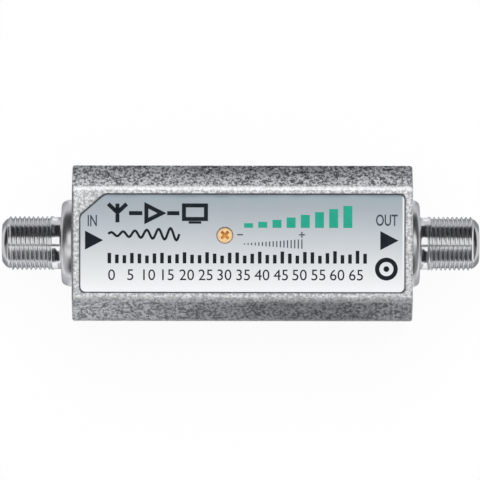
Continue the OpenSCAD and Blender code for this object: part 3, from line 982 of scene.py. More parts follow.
@dataclass(frozen=True)
class RotorPlastic(Finish):
    """Plastic that turns tan towards a round rim, with painted shade down in its slot."""

    face: Colour
    slot_shade: Colour
    rim: Colour
    centre: Place
    top: float
    rim_band: Point = (1.22, 1.36)
    deep_band: Point = (-0.22, -0.05)
    clouds: Grain = Grain(1.6, 3.0)
    depth_mm: float = 0.01
    rough: float = 0.32

    def sockets(self, tree: Tree) -> Sockets:
        """Turn the colour tan at the rim, and paint shade below the end face, down in the slot.

        Args:
            tree: The material's node tree.

        Returns:
            The shader's socket values.
        """
        clouds = tree.noise(self.clouds)
        edge = tree.off_axis(self.centre, (1.0, 1.0, 0.0)).rise(*self.rim_band)
        # Painted shade below the end face, down in the slot.
        in_slot_shade = (tree.along("Z") - self.top).fall(*self.deep_band)
        colour = tree.mix(edge + 0.25 * (clouds - 0.5), self.face, self.rim)
        return {
            "Base Color": tree.mix(in_slot_shade, colour, self.slot_shade),
            "Roughness": self.rough + 0.15 * clouds,
            "Normal": tree.relief(clouds, self.depth_mm),
        }


@dataclass(frozen=True)
class Wound(Finish):
    """Enamelled wire wound close, with painted shade in the line between the turns."""

    light: Colour
    dark: Colour
    axis: str
    turns_per_mm: float = 2.0
    sway: Grain = Grain(0.7)
    gap_band: Point = (0.1, 0.6)
    depth_mm: float = 0.12
    metal: float = 0.9
    rough: float = 0.42

    def sockets(self, tree: Tree) -> Sockets:
        """Draw the turns as round ridges along the coil.

        Args:
            tree: The material's node tree.

        Returns:
            The shader's socket values.
        """
        sway = 0.15 * tree.noise(self.sway)
        angle = (tree.along(self.axis) * self.turns_per_mm + sway) * math.pi
        ridge = abs(angle.math("SINE", angle))
        return {
            # Painted shade between the turns.
            "Base Color": tree.mix(ridge.rise(*self.gap_band), self.dark, self.light),
            "Metallic": self.metal,
            "Roughness": self.rough - 0.1 * ridge,
            "Normal": tree.relief(ridge, self.depth_mm),
        }


@dataclass(frozen=True)
class SolderMask(Finish):
    """Green board with paler copper tracks under its mask."""

    light: Colour
    dark: Colour
    cells_per_mm: float = 0.28
    track_band: Point = (0.05, 0.08)
    grain: Grain = Grain(2.0)
    depth_mm: float = 0.03
    rough: float = 0.35

    def sockets(self, tree: Tree) -> Sockets:
        """Lay out the tracks as cells with gaps between them.

        Args:
            tree: The material's node tree.

        Returns:
            The shader's socket values.
        """
        settings = {"feature": "DISTANCE_TO_EDGE", "distance": "MANHATTAN"}
        inputs = {"Vector": tree.place, "Scale": self.cells_per_mm}
        track = tree.node("ShaderNodeTexVoronoi", settings, inputs).rise(*self.track_band)
        return {
            "Base Color": tree.mix(track, self.dark, self.light),
            "Roughness": self.rough + 0.1 * tree.noise(self.grain),
            "Normal": tree.relief(track, self.depth_mm),
        }


class SubAssembly:
    """A piece that is modelled here, with the body that it rides on and the record's material slot."""

    body: ClassVar[Body] = Body.CASE
    slot: ClassVar[str]

    def build(self) -> Piece:
        """Model the piece; each sub-assembly has its own way."""
        raise NotImplementedError

    def dress(self, piece: Piece, finish: Finish, *nodes: str) -> Piece:
        """Put a finish on the piece and hand it to the frame.

        Args:
            piece: The piece as it was modelled.
            finish: Its surface.
            nodes: The frame nodes that it stands for.

        Returns:
            The same piece.
        """
        finish.dress(piece)
        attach(piece, self.body.value)
        if nodes:
            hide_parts(*nodes)
        return piece


@dataclass
class LabelShape:
    """Rectangle with rounded corners and its upper left corner cut off."""

    length: float
    width: float
    cut_l: float = 4.3
    cut_w: float = 3.7
    corner_r: float = 0.9
    cut_r: float = 0.5
    corner_segments: int = 8

    def prism(self, bottom: float, top: float, grow: float = 0.0) -> Piece:
        """Model the shape as a prism.

        Args:
            bottom: Height of its lower face.
            top: Height of its upper face.
            grow: How far the outline is moved outward.

        Returns:
            The prism.
        """
        half_l = self.length / 2 + grow
        half_w = self.width / 2 + grow
        corners = [(x, y, bottom) for x in (-half_l, half_l) for y in (-half_w, half_w)]
        cut = [(self.cut_l - half_l, half_w, bottom), (-half_l, half_w - self.cut_w, bottom)]
        normal = Vector((-self.cut_w, self.cut_l, 0.0)).normalized()
        piece = Bench.sheet((2 * half_l, 2 * half_w), (0.0, 0.0, bottom))
        with Bench.editing(piece, Part.VERT):
            bpy.ops.mesh.bisect(plane_co=cut[0], plane_no=normal, clear_outer=True)
            Bench.round_off(piece, stands_at(*corners), self.corner_r, self.corner_segments, Part.VERT)
            Bench.round_off(piece, stands_at(*cut), self.cut_r, self.corner_segments // 2, Part.VERT)
            bpy.ops.mesh.select_all(action="SELECT")
            Bench.pull((0.0, 0.0, top - bottom))
        return piece

    def pocket(self, floor: float, top: float, grow: float, flare: float, over: float) -> Piece:
        """Model a tool that cuts a pocket of this shape with a flared rim.

        Args:
            floor: Height of the pocket's floor.
            top: Height of the surface that it is cut into.
            grow: Gap round the shape.
            flare: How far the rim opens.
            over: How far the tool stands proud of the surface.

        Returns:
            The tool.
        """
        tool = self.prism(floor, top - flare, grow)
        wider = [(whole / 2 + grow + flare) / (whole / 2 + grow) for whole in (self.length, self.width)]
        with Bench.editing(tool, Part.FACE):
            Bench.pick(tool, Part.FACE, lambda face: face.normal.z > LEVEL)
            Bench.pull((0.0, 0.0, flare))
            bpy.ops.transform.resize(value=(*wider, 1.0), center_override=(0.0, 0.0, top))
            Bench.pull((0.0, 0.0, over))
        return tool


@dataclass
class CaseShell(SubAssembly):
    """Cast case with sloped long edges, open at the back and bored at both ends."""

    slot = "cast_nickel"
    box: Box
    label: LabelShape
    trimmer: Vector
    posts: Vector
    post_z: float
    label_gap: float = 0.2
    recess: float = 0.35
    face_w: float = 19.2
    bend_r: float = 1.2
    side_r: float = 0.5
    end_r: float = 0.42
    back_r: float = 0.15
    rim_flare: float = 0.1
    side_wall: float = 1.6
    front_wall: float = 1.8
    end_wall: float = 2.0
    ledge: float = 0.7
    cover_t: float = 1.2
    post_r: float = 2.0
    screw_r: float = 1.03
    screw_depth: float = 4.0
    slip: float = 0.03
    stake_r: float = 0.55
    stake_sink: float = 0.16
    stakes_x: tuple[float, ...] = (-21.0, -7.0, 7.0, 21.0)
    stakes_y: tuple[float, ...] = (-7.0, 7.0)
    over: float = 1.0

    def build(self) -> Piece:
        """Model the case.

        Returns:
            The finished piece, named case_shell.
        """
        shell = self._outer_block()
        self._hollow(shell)
        self._stand_posts(shell)
        self._open_back_and_ends(shell)
        self._open_front(shell)
        self._stake_rim(shell)
        return Bench.settle(shell, "case_shell")

    def _outer_block(self) -> Piece:
        """Chamfer a block to the case's section and round its bends and ends.

        Returns:
            The block.
        """
        half = self.box.size / 2
        depth = self.box.high.z
        slope = half.y - self.face_w / 2
        bend = math.tan(math.pi / 8)
        block = Bench.block(tuple(self.box.size), tuple(self.box.centre))

        def runs_at(y: float, z: float) -> Callable[[Edge], bool]:
            """Make a test for the edges that run along the case at one place of its section."""
            at_place = both_ends(lambda co: near(abs(co.y), y) and near(co.z, z))
            return lambda edge: at_place(edge) and near(edge.verts[0].co.y, edge.verts[1].co.y)

        with Bench.editing(block, Part.EDGE):
            Bench.round_off(block, runs_at(half.y, depth), slope, segments=1)
            Bench.round_off(block, runs_at(half.y - slope, depth), self.bend_r * bend, segments=8)
            Bench.round_off(block, runs_at(half.y, depth - slope), self.side_r * bend, segments=4)
            Bench.round_off(block, self._on_end, self.end_r, segments=4)
            Bench.round_off(block, both_ends(lambda co: near(co.z, 0.0)), self.back_r, segments=2)
        return block

    def _on_end(self, edge: Edge) -> bool:
        """Tell whether an edge outlines an end face, apart from its back edge."""
        start, stop = (vert.co for vert in edge.verts)
        return near(abs(start.x), self.box.high.x) and near(start.x, stop.x) and max(start.z, stop.z) > MERGE

    def _hollow(self, shell: Piece) -> None:
        """Cut a room with sloped upper edges out of the case.

        Args:
            shell: The case.
        """
        length = self.box.size.x - 2 * self.end_wall
        width = self.box.size.y - 2 * self.side_wall
        depth = self.box.size.z - self.front_wall
        face_w = self.face_w + 2 * self.front_wall - 2 * self.side_wall * math.sqrt(2)
        height = depth + self.over
        room = Bench.block((length, width, height), (0.0, 0.0, height / 2 - self.over))
        round_top = both_ends(lambda co: near(abs(co.y), width / 2) and near(co.z, depth))
        with Bench.editing(room, Part.EDGE):
            Bench.round_off(room, round_top, (width - face_w) / 2, segments=1)
        Bench.carve(shell, room)

    def _stand_posts(self, shell: Piece) -> None:
        """Stand the board's posts in the room and drill them.

        Args:
            shell: The case.
        """
        top = self.box.size.z - self.front_wall + self.front_wall / 4
        foot, hole_end = self.post_z, self.post_z + self.screw_depth
        for x, y in [(x * self.posts.x, y * self.posts.y) for x in (-1, 1) for y in (-1, 1)]:
            Bench.carve(shell, Bench.rod(self.post_r, (x, y, foot), (x, y, top), sides=40), Carving.JOIN)
            Bench.carve(shell, Bench.rod(self.screw_r, (x, y, foot - self.over), (x, y, hole_end), sides=32))

    def _open_back_and_ends(self, shell: Piece) -> None:
        """Cut the cover's seat into the back and bore the end walls for the sockets.

        Args:
            shell: The case.
        """
        size = self.box.size
        lid_l = size.x - 2 * (self.end_wall - self.ledge)
        lid_w = size.y - 2 * (self.side_wall - self.ledge)
        lid_h = self.cover_t + self.over
        Bench.carve(shell, Bench.block((lid_l, lid_w, lid_h), (0.0, 0.0, lid_h / 2 - self.over)))
        for end in (-1, 1):
            start = (end * (size.x / 2 - self.end_wall - self.over), 0.0, size.z / 2)
            stop = (end * (size.x / 2 + self.over), 0.0, size.z / 2)
            Bench.carve(shell, Bench.rod(SPIGOT_R + self.slip, start, stop, sides=96))

    def _open_front(self, shell: Piece) -> None:
        """Sink the label's recess into the front with a flared rim, and drill the trimmer's hole.

        Args:
            shell: The case.
        """
        depth = self.box.high.z
        recess = self.label.pocket(depth - self.recess, depth, self.label_gap, self.rim_flare, self.over)
        Bench.carve(shell, recess)
        x, y = self.trimmer.x, self.trimmer.y
        inside = depth - self.front_wall - self.over
        Bench.carve(shell, Bench.rod(TRIMMER_HOLE_R, (x, y, inside), (x, y, depth + self.over)))

    def _stake_rim(self, shell: Piece) -> None:
        """Punch small round stakes into the back rim, which hold the cover.

        Args:
            shell: The case.
        """
        side_y = self.box.high.y - (self.side_wall - self.ledge) / 2
        end_x = self.box.high.x - (self.end_wall - self.ledge) / 2
        spots = [(x, side * side_y) for x in self.stakes_x for side in (-1, 1)]
        spots += [(end * end_x, y) for y in self.stakes_y for end in (-1, 1)]
        for x, y in spots:
            punch = Bench.add(
                bpy.ops.mesh.primitive_uv_sphere_add,
                segments=20,
                ring_count=12,
                radius=self.stake_r,
                location=(x, y, self.stake_sink - self.stake_r),
            )
            Bench.carve(shell, Bench.fix(punch))


@dataclass
class BackPlate(SubAssembly):
    """Pressed sheet cover with a stiffening bead that follows its edge."""

    slot = "tinned_sheet"
    box: Box
    sheet_t: float = 1.2
    bead_inset: float = 3.0
    bead_w: float = 1.0
    groove_w: float = 0.5
    bead_sink: float = 0.4
    border: float = 1.0
    corner_r: float = 0.5
    bead_r: float = 1.4
    edge_r: float = 0.12

    def build(self) -> Piece:
        """Model the cover.

        Returns:
            The finished piece, named back_plate.
        """
        size = self.box.size
        plate = Bench.block((size.x, size.y, self.sheet_t), (0.0, 0.0, self.sheet_t / 2))
        groove_inset = self.bead_inset + (self.bead_w - self.groove_w) / 2
        with Bench.editing(plate, Part.EDGE):
            self._press(plate, -1.0, groove_inset, self.groove_w)
            self._press(plate, 1.0, self.bead_inset, self.bead_w)
            Bench.round_off(plate, self._plate_corner, self.corner_r, segments=4)
            Bench.round_off(plate, self._bead_corner, self.bead_r, segments=6)
        Bench.soften(plate, self.edge_r, past_deg=40)
        return Bench.settle(plate, "back_plate")

    @staticmethod
    def _upright(edge: Edge) -> float:
        """Give the length of an edge that stands upright, and 0 for any other."""
        step = edge.verts[0].co - edge.verts[1].co
        return abs(step.z) if math.hypot(step.x, step.y) < MERGE else 0.0

    def _plate_corner(self, edge: Edge) -> bool:
        """Tell whether an edge is a corner of the plate."""
        return self._upright(edge) > self.sheet_t / 2

    def _bead_corner(self, edge: Edge) -> bool:
        """Tell whether an edge is a corner of the bead or the groove, inside the plate's border."""
        within = all(self._inside(vert.co, self.border) for vert in edge.verts)
        return self._upright(edge) > self.bead_sink / 2 and within

    def _inside(self, place: Vector, inset: float) -> bool:
        """Tell whether a place lies further in from the plate's edge than an inset."""
        half = self.box.size / 2
        return abs(place.x) < half.x - inset and abs(place.y) < half.y - inset

    def _press(self, plate: Piece, facing: float, inset: float, width: float) -> None:
        """Press a ring into one face of the open plate.

        Args:
            plate: The plate, open in edit mode.
            facing: Sign of the pressed face's normal along Z.
            inset: Distance from the plate's edge to the ring.
            width: Width of the ring.
        """
        Bench.pick(plate, Part.FACE, lambda face: face.normal.z * facing > LEVEL)
        bpy.ops.mesh.inset(thickness=inset)
        bpy.ops.mesh.inset(thickness=width)

        def in_ring(face: bmesh.types.BMFace) -> bool:
            """Tell whether a face lies in the ring.

            Args:
                face: A face of the plate.

            Returns:
                True for the faces of the ring.
            """
            within = all(self._inside(vert.co, inset - MERGE) for vert in face.verts)
            inner = self._inside(face.calc_center_median(), inset + width)
            return face.normal.z * facing > LEVEL and within and not inner

        Bench.pick(plate, Part.FACE, in_ring)
        Bench.pull((0.0, 0.0, self.bead_sink))


@dataclass
class LabelPlate(SubAssembly):
    """Thin label with a hole for the trimmer."""

    slot = "label_film"
    box: Box
    shape: LabelShape
    trimmer: Vector
    edge_r: float = 0.03
    over: float = 1.0

    def build(self) -> Piece:
        """Model the label.

        Returns:
            The finished piece, named label_plate.
        """
        bottom, top = self.box.low.z, self.box.high.z
        x, y = self.trimmer.x, self.trimmer.y
        plate = self.shape.prism(bottom, top)
        Bench.carve(plate, Bench.rod(TRIMMER_HOLE_R, (x, y, bottom - self.over), (x, y, top + self.over)))
        with Bench.editing(plate, Part.EDGE):
            Bench.round_off(plate, self._on_border, self.edge_r, segments=2)
        return Bench.settle(plate, "label_plate")

    def _on_border(self, edge: Edge) -> bool:
        """Tell whether an edge bounds the label's upper face."""
        walls = [face for face in edge.link_faces if abs(face.normal.z) < STEEP]
        return all(near(vert.co.z, self.box.high.z) for vert in edge.verts) and len(walls) == 1


@dataclass
class Pen:
    """Ink shapes of one colour, drawn on a level as thin closed slabs."""

    level: float
    thickness: float = 0.02
    sink: float = 0.008
    font_scale: float = 1.4
    curve_steps: int = 4
    drawn: list[Piece] = field(default_factory=list)

    def _line(self, points: Sequence[Point], closed: bool) -> Piece:
        """Draw a line at the foot of the ink."""
        return Bench.chain([(x, y, self.level - self.sink) for x, y in points], closed)

    def stroke(self, points: Sequence[Point], width: float, closed: bool = False) -> None:
        """Draw a line of even width.

        Args:
            points: The line's points.
            width: The line's width.
            closed: Whether the line is a ring.
        """
        ribbon = self._line(points, closed)
        with Bench.editing(ribbon, Part.EDGE):
            Bench.pull((0.0, 0.0, self.thickness))
            bpy.ops.mesh.select_all(action="SELECT")
            bpy.ops.mesh.normals_make_consistent(inside=False)
        Bench.apply(ribbon, "SOLIDIFY", thickness=width, offset=0.0, use_even_offset=True, use_rim=True)
        self.drawn.append(ribbon)

    def patch(self, points: Sequence[Point]) -> None:
        """Fill an outline with ink.

        Args:
            points: The outline's points.
        """
        slab = self._line(points, closed=True)
        with Bench.editing(slab, Part.VERT):
            bpy.ops.mesh.edge_face_add()
            bpy.ops.mesh.select_all(action="SELECT")
            Bench.pull((0.0, 0.0, self.thickness))
        self.drawn.append(slab)

    def bar(self, left: float, foot: float, width: float, top: float) -> None:
        """Fill an upright bar with ink."""
        self.patch([(left, foot), (left + width, foot), (left + width, top), (left, top)])

    def words(
        self, body: str, centre: Point, height: float, weight: float = 0.0, narrow: float = 1.0
    ) -> None:
        """Letter a plain word or number.

        Args:
            body: The letters.
            centre: Middle of the word.
            height: Height of the letters.
            weight: How much the strokes are thickened.
            narrow: How much the letters are narrowed.
        """
        word = Bench.add(bpy.ops.object.text_add, location=ORIGIN)
        word.data.body = body
        word.data.size = self.font_scale * height
        word.data.offset = weight
        word.data.extrude = self.thickness / 2
        word.data.resolution_u = self.curve_steps
        bpy.ops.object.convert(target="MESH")
        corners = [Vector(corner) for corner in word.bound_box]
        low = Vector(map(min, *corners))
        high = Vector(map(max, *corners))
        middle = (low + high) / 2
        scale = height / (high.y - low.y)
        across = narrow * scale
        lift = self.level - self.sink + self.thickness / 2
        word.scale = (across, scale, 1.0)
        Bench.place(word, (centre[0] - across * middle.x, centre[1] - scale * middle.y, lift))
        self.drawn.append(word)

    def gather(self, name: str) -> Piece:
        """Join all that was drawn into one finished piece.

        Args:
            name: The piece's name.

        Returns:
            The finished piece.
        """
        Bench.take(*self.drawn)
        bpy.ops.object.join()
        return Bench.settle(self.drawn[0], name)


@dataclass(frozen=True)
class Row:
    """Marks at even distances along the label."""

    left: float
    pitch: float
    count: int

    @property
    def right(self) -> float:
        """Place of the last mark."""
        return self.left + (self.count - 1) * self.pitch

    def marks(self) -> Iterator[tuple[int, float]]:
        """Count the marks off, each with its place."""
        return ((index, self.left + index * self.pitch) for index in range(self.count))


@dataclass
class LabelPrint(SubAssembly):
    """One ink of a plain print: flow marks, pictograms, a level wedge, bars and a numbered scale."""

    slot = "label_film"
    ink: Ink
    pen: Pen
    trimmer: Vector
    arrow_tails: Point = (-27.2, 23.85)
    arrow_y: float = 0.52
    arrow_h: float = 3.3
    arrow_l: float = 3.135
    chain_w: float = 0.7
    stand_w: float = 0.4
    bars: Row = Row(left=0.3, pitch=2.45, count=8)
    bar_w: float = 1.55
    bar_foot: float = 2.7
    bar_low: float = 0.8
    bar_rise: float = 3.0
    bar_power: float = 1.3
    comb: Row = Row(left=-23.3, pitch=1.3, count=35)
    comb_w: float = 0.62
    comb_foot: float = -3.47
    comb_low: float = 1.35
    comb_swing: float = 0.9
    comb_beat: float = 1.9
    numbers: Row = Row(left=-22.6, pitch=3.25, count=14)
    number_step: int = 5
    number_y: float = -5.45
    number_h: float = 1.88
    wave_start: Point = (-23.2, 1.6)
    wave_l: float = 12.3
    wave_w: float = 0.42
    wave_low: float = 0.25
    wave_rise: float = 0.85
    waves: int = 6
    wave_steps: int = 96
    sign_centre: Point = (24.9, -4.4)
    sign_ring_r: float = 1.6
    sign_ring_w: float = 0.75
    sign_dot_r: float = 0.5
    sign_sides: int = 40
    tick_start: float = 3.4
    tick_pitch: float = 0.62
    tick_count: int = 17
    tick_y: float = -0.1
    tick_w: float = 0.2
    tick_low: float = 0.12
    tick_rise: float = 0.75
    minus_x: float = -0.4
    plus_y: float = 1.5
    plus_half: float = 0.5
    plus_gap: float = 0.15
    plus_w: float = 0.22

    def build(self) -> Piece:
        """Print all that has this ink.

        Returns:
            The finished piece, such as label_print_dark.
        """
        dark = (
            self._flow_marks,
            self._signal_chain,
            self._growing_wave,
            self._channel_comb,
            self._number_row,
            self._socket_sign,
        )
        layers = {Ink.DARK: dark, Ink.GREY: (self._words, self._level_wedge), Ink.TEAL: (self._rising_bars,)}
        for draw in layers[self.ink]:
            draw()
        return self.pen.gather(f"label_print_{self.ink.value}")

    def _flow_marks(self) -> None:
        """Draw the two arrow heads that show which way the signal runs."""
        low, high = self.arrow_y - self.arrow_h / 2, self.arrow_y + self.arrow_h / 2
        for tail_x in self.arrow_tails:
            self.pen.patch([(tail_x, low), (tail_x + self.arrow_l, self.arrow_y), (tail_x, high)])

    def _words(self) -> None:
        """Letter the two ends."""
        self.pen.words("IN", (-25.95, 3.9), height=1.95, weight=0.04, narrow=0.64)
        self.pen.words("OUT", (24.97, 4.05), height=2.0, weight=0.04, narrow=0.65)

    def _rising_bars(self) -> None:
        """Draw a row of rising bars."""
        for index, x in self.bars.marks():
            rise = self.bar_low + self.bar_rise * (index / (self.bars.count - 1)) ** self.bar_power
            self.pen.bar(x, self.bar_foot, self.bar_w, self.bar_foot + rise)

    def _signal_chain(self) -> None:
        """Draw an aerial, an amplifier triangle and a receiver, joined by bold lines."""
        lines = (
            ([(-21.6, 3.6), (-21.6, 5.0)], False),
            ([(-23.2, 6.8), (-21.6, 5.3), (-20.0, 6.8)], False),
            ([(-21.6, 5.75), (-21.6, 6.85)], False),
            ([(-19.6, 5.2), (-17.3, 5.2)], False),
            ([(-16.6, 3.85), (-13.9, 5.2), (-16.6, 6.55)], True),
            ([(-13.0, 5.2), (-10.9, 5.2)], False),
            ([(-10.1, 4.2), (-6.3, 4.2), (-6.3, 6.55), (-10.1, 6.55)], True),
        )
        for points, closed in lines:
            self.pen.stroke(points, self.chain_w, closed)
        self.pen.stroke([(-9.3, 3.6), (-7.1, 3.6)], self.stand_w)

    def _channel_comb(self) -> None:
        """Draw a bold comb of bars that rises along the label."""
        for index, x in self.comb.marks():
            swing = (1 + math.cos(index * self.comb_beat)) / 2 * (1 + index / self.comb.count) / 2
            top = self.comb_foot + self.comb_low + self.comb_swing * swing
            self.pen.bar(x, self.comb_foot, self.comb_w, top)

    def _socket_sign(self) -> None:
        """Draw a coaxial socket seen from its end."""
        self.pen.stroke(self._circle(self.sign_ring_r, self.sign_sides), self.sign_ring_w, closed=True)
        self.pen.patch(self._circle(self.sign_dot_r, self.sign_sides // 2))

    def _circle(self, radius: float, sides: int) -> list[Point]:
        """List the points of a circle round the socket sign's centre.

        Args:
            radius: Radius of the circle.
            sides: Number of points.

        Returns:
            The points in order.
        """
        x, y = self.sign_centre
        turns = [math.tau * side / sides for side in range(sides)]
        return [(x + radius * math.cos(turn), y + radius * math.sin(turn)) for turn in turns]

    def _growing_wave(self) -> None:
        """Draw a wave that grows from left to right."""
        left, middle = self.wave_start
        points = []
        for share in [step / self.wave_steps for step in range(self.wave_steps + 1)]:
            swing = (self.wave_low + self.wave_rise * share) * math.sin(math.tau * self.waves * share)
            points.append((left + self.wave_l * share, middle + swing))
        self.pen.stroke(points, self.wave_w)

    def _level_wedge(self) -> None:
        """Draw a minus, a widening row of thin ticks and a plus beside the trimmer."""
        ticks = Row(self.trimmer.x + self.tick_start, self.tick_pitch, self.tick_count)
        for index, x in ticks.marks():
            half = self.tick_low + self.tick_rise * index / ticks.count
            self.pen.stroke([(x, self.tick_y - half), (x, self.tick_y + half)], self.tick_w)
        plus_x, y, half, gap = ticks.right, self.plus_y, self.plus_half, self.plus_gap
        for centre_x in (self.minus_x, plus_x):
            self.pen.stroke([(centre_x - half, y), (centre_x + half, y)], self.plus_w)
        for low, high in ((y + gap, y + half), (y - half, y - gap)):
            self.pen.stroke([(plus_x, low), (plus_x, high)], self.plus_w)

    def _number_row(self) -> None:
        """Number the comb with a plain scale."""
        for index, x in self.numbers.marks():
            self.pen.words(str(self.number_step * index), (x, self.number_y), self.number_h)


@dataclass
class Socket(SubAssembly):
    """Turned coaxial socket with a flange, a neck, a threaded barrel and a rounded nose."""

    slot = "bright_nickel"
    end: End
    box: Box
    end_x: float
    axis_z: float
    flange_t: float
    flange_face_r: float = 6.6
    flange_round: float = 1.0
    flange_edge: float = 0.12
    flange_back: float = 0.1
    neck_r: float = 4.55
    fillet: float = 0.35
    crest_r: float = 4.7
    pitch: float = 0.79375
    groove_w: float = 0.68
    groove_depth: float = 0.398
    root_flat: float = 0.07
    run_in: float = 0.7
    turns: float = 9.42
    undercut_l: float = 0.23
    undercut_step: Point = (0.1, 0.18)
    nose_l: float = 1.1
    nose_r: float = 3.3125
    nose_power: float = 1.6
    lip_r: float = 2.35
    lip_l: float = 0.6
    lip_edge: float = 0.12
    bore_r: float = 2.6
    rear_bore_r: float = 3.0
    insulator_l: float = 6.0
    spigot_edge: float = 0.3
    rim_steps: int = 9
    fillet_steps: int = 4
    nose_steps: int = 8
    crease_deg: float = 55.0
    steps: int = 112
    samples: int = 20

    @property
    def mouth(self) -> float:
        """Distance from the case's end face to the socket's mouth."""
        return max(abs(self.box.low.x), abs(self.box.high.x)) - self.end_x

    @property
    def spigot_l(self) -> float:
        """Length of the spigot inside the case."""
        return self.end_x - min(abs(self.box.low.x), abs(self.box.high.x))

    @property
    def thread_end(self) -> float:
        """Height at which the thread's last crest ends."""
        return self.mouth - self.nose_l - self.undercut_l

    @property
    def thread_start(self) -> float:
        """Height at which the thread's first crest starts."""
        return self.thread_end - self.turns * self.pitch

    def build(self) -> Piece:
        """Model the socket.

        Returns:
            The finished piece, such as input_barrel.
        """
        piece = Bench.turn(self._outline(), self.steps, closed=True)
        Bench.reshape(piece, self._cut_thread)
        tilt = (0.0, self.end.outward * math.pi / 2, 0.0)
        Bench.place(piece, (self.end.outward * self.end_x, 0.0, self.axis_z), tilt)
        return Bench.settle(piece, f"{self.end.value}_barrel", self.crease_deg)

    def _outline(self) -> list[Point]:
        """List the radius and height of each point round the socket's section.

        Returns:
            The points as a ring, from the spigot out to the mouth and back through the bore.
        """
        flange_t, face_r, mouth = self.flange_t, self.flange_face_r, self.mouth
        rim_r = face_r + self.flange_round
        spigot = [
            (self.rear_bore_r, -self.spigot_l),
            (SPIGOT_R - self.spigot_edge, -self.spigot_l),
            (SPIGOT_R, self.spigot_edge - self.spigot_l),
            (SPIGOT_R, 0.0),
        ]
        flange = [(rim_r - self.flange_back, 0.0), (rim_r, self.flange_back)]
        for angle in quarter(self.rim_steps):
            rise = self.flange_edge + (1 - self.flange_edge) * math.sin(angle)
            flange.append((face_r + self.flange_round * math.cos(angle), flange_t * rise))
        neck = []
        for angle in reversed(quarter(self.fillet_steps)):
            inward, back = self.fillet * (1 - math.cos(angle)), self.fillet * (1 - math.sin(angle))
            neck.append((self.neck_r + inward, flange_t + back))
        neck.append((self.neck_r, self.thread_start - 2 * (self.crest_r - self.neck_r)))
        span = self.thread_end - self.thread_start
        rows = round(span / self.pitch * self.samples)
        thread = [(self.crest_r, self.thread_start + span * row / rows) for row in range(rows + 1)]
        root_r = self.crest_r - self.groove_depth
        nose = [(root_r + self.undercut_step[0], self.thread_end + self.undercut_step[1])]
        for share in [step / self.nose_steps for step in range(self.nose_steps + 1)]:
            radius = self.nose_r + (root_r - self.nose_r) * (1 - share**self.nose_power)
            nose.append((radius, mouth - self.nose_l * (1 - share)))
        step_at = mouth - self.lip_l - self.insulator_l
        bore = [
            (self.lip_r + self.lip_edge, mouth),
            (self.lip_r, mouth - self.lip_edge),
            (self.lip_r, mouth - self.lip_l),
            (self.bore_r, mouth - self.lip_l),
            (self.bore_r, step_at),
            (self.rear_bore_r, step_at),
        ]
        return spigot + flange + neck + thread + nose + bore

    def _cut_thread(self, point: Vector) -> None:
        """Move a point of the barrel in, to the depth that the thread has there.

        Args:
            point: A vertex's place about the socket's axis, which is moved where it lies on a crest.
        """
        radius = math.hypot(point.x, point.y)
        if not near(radius, self.crest_r) or not self.thread_start <= point.z <= self.thread_end + MERGE:
            return
        turn = math.atan2(point.y, point.x) / math.tau
        rise = (point.z - self.thread_start) / self.pitch
        apart = abs((rise - turn) % 1.0 - 0.5) * self.pitch
        share = min(max((apart - self.root_flat) / (self.groove_w / 2 - self.root_flat), 0.0), 1.0)
        depth = self.groove_depth * (1 - share) * min(1.0, rise / self.run_in)
        scale = (self.crest_r - depth) / radius
        point.x *= scale
        point.y *= scale


@dataclass
class GainRotor(SubAssembly):
    """Trimmer rotor with a pivot, a disc with a lug, and a slotted stem."""

    body = Body.TRIMMER
    slot = "orange_plastic"
    box: Box
    axis: Vector
    stem_r: float = 1.3
    head_r: float = 1.42
    head_h: float = 0.35
    pivot_r: float = 0.7
    pivot_l: float = 1.55
    disc_r: float = 3.0
    disc_h: float = 1.6
    lug_h: float = 0.45
    lug_deg: float = 24.0
    lug_clear: float = 0.1
    slot_l: float = 1.7
    slot_w: float = 0.5
    slot_depth: float = 0.8
    edge: float = 0.1
    edge_r: float = 0.05
    steps: int = 72
    over: float = 1.0

    def build(self) -> Piece:
        """Model the rotor.

        Returns:
            The finished piece, named gain_rotor.
        """
        rotor = Bench.turn(self._outline(), self.steps, closed=False)
        half_arc = math.radians(self.lug_deg / 2)
        lug_l = 2 * (self.disc_r + self.lug_clear) * math.sin(half_arc)
        lug_y = (self.disc_r + self.lug_h) * math.cos(half_arc) - self.lug_h
        lug_z = self.box.low.z + self.pivot_l + self.disc_h / 2
        lug_size = (lug_l, 2 * self.lug_h, self.disc_h - 2 * self.lug_clear)
        Bench.carve(rotor, Bench.block(lug_size, (0.0, lug_y, lug_z)), Carving.JOIN)
        slot_h = self.slot_depth + self.over
        slot_z = self.box.high.z - self.slot_depth + slot_h / 2
        for quarter_turn in (1, 3):
            slot = Bench.block((self.slot_l, self.slot_w, slot_h), (0.0, 0.0, slot_z))
            Bench.place(slot, ORIGIN, (0.0, 0.0, quarter_turn * math.pi / 4))
            Bench.carve(rotor, slot)
        Bench.place(rotor, (self.axis.x, self.axis.y, 0.0))
        Bench.soften(rotor, self.edge_r, past_deg=50)
        return Bench.settle(rotor, "gain_rotor")

    def _outline(self) -> list[Point]:
        """List the radius and height of each point of the rotor's section.

        Returns:
            The points from the pivot's foot to the stem's end.
        """
        foot, top = self.box.low.z, self.box.high.z
        disc = foot + self.pivot_l
        disc_top = disc + self.disc_h
        return [
            (0.0, foot),
            (self.pivot_r - self.edge, foot),
            (self.pivot_r, foot + self.edge),
            (self.pivot_r, disc),
            (self.disc_r, disc),
            (self.disc_r, disc_top),
            (self.stem_r, disc_top),
            (self.stem_r, top - self.head_h - self.edge),
            (self.head_r, top - self.head_h),
            (self.head_r, top - self.edge),
            (self.head_r - self.edge / 3, top - self.edge / 3),
            (self.head_r - self.edge, top),
            (0.0, top),
        ]


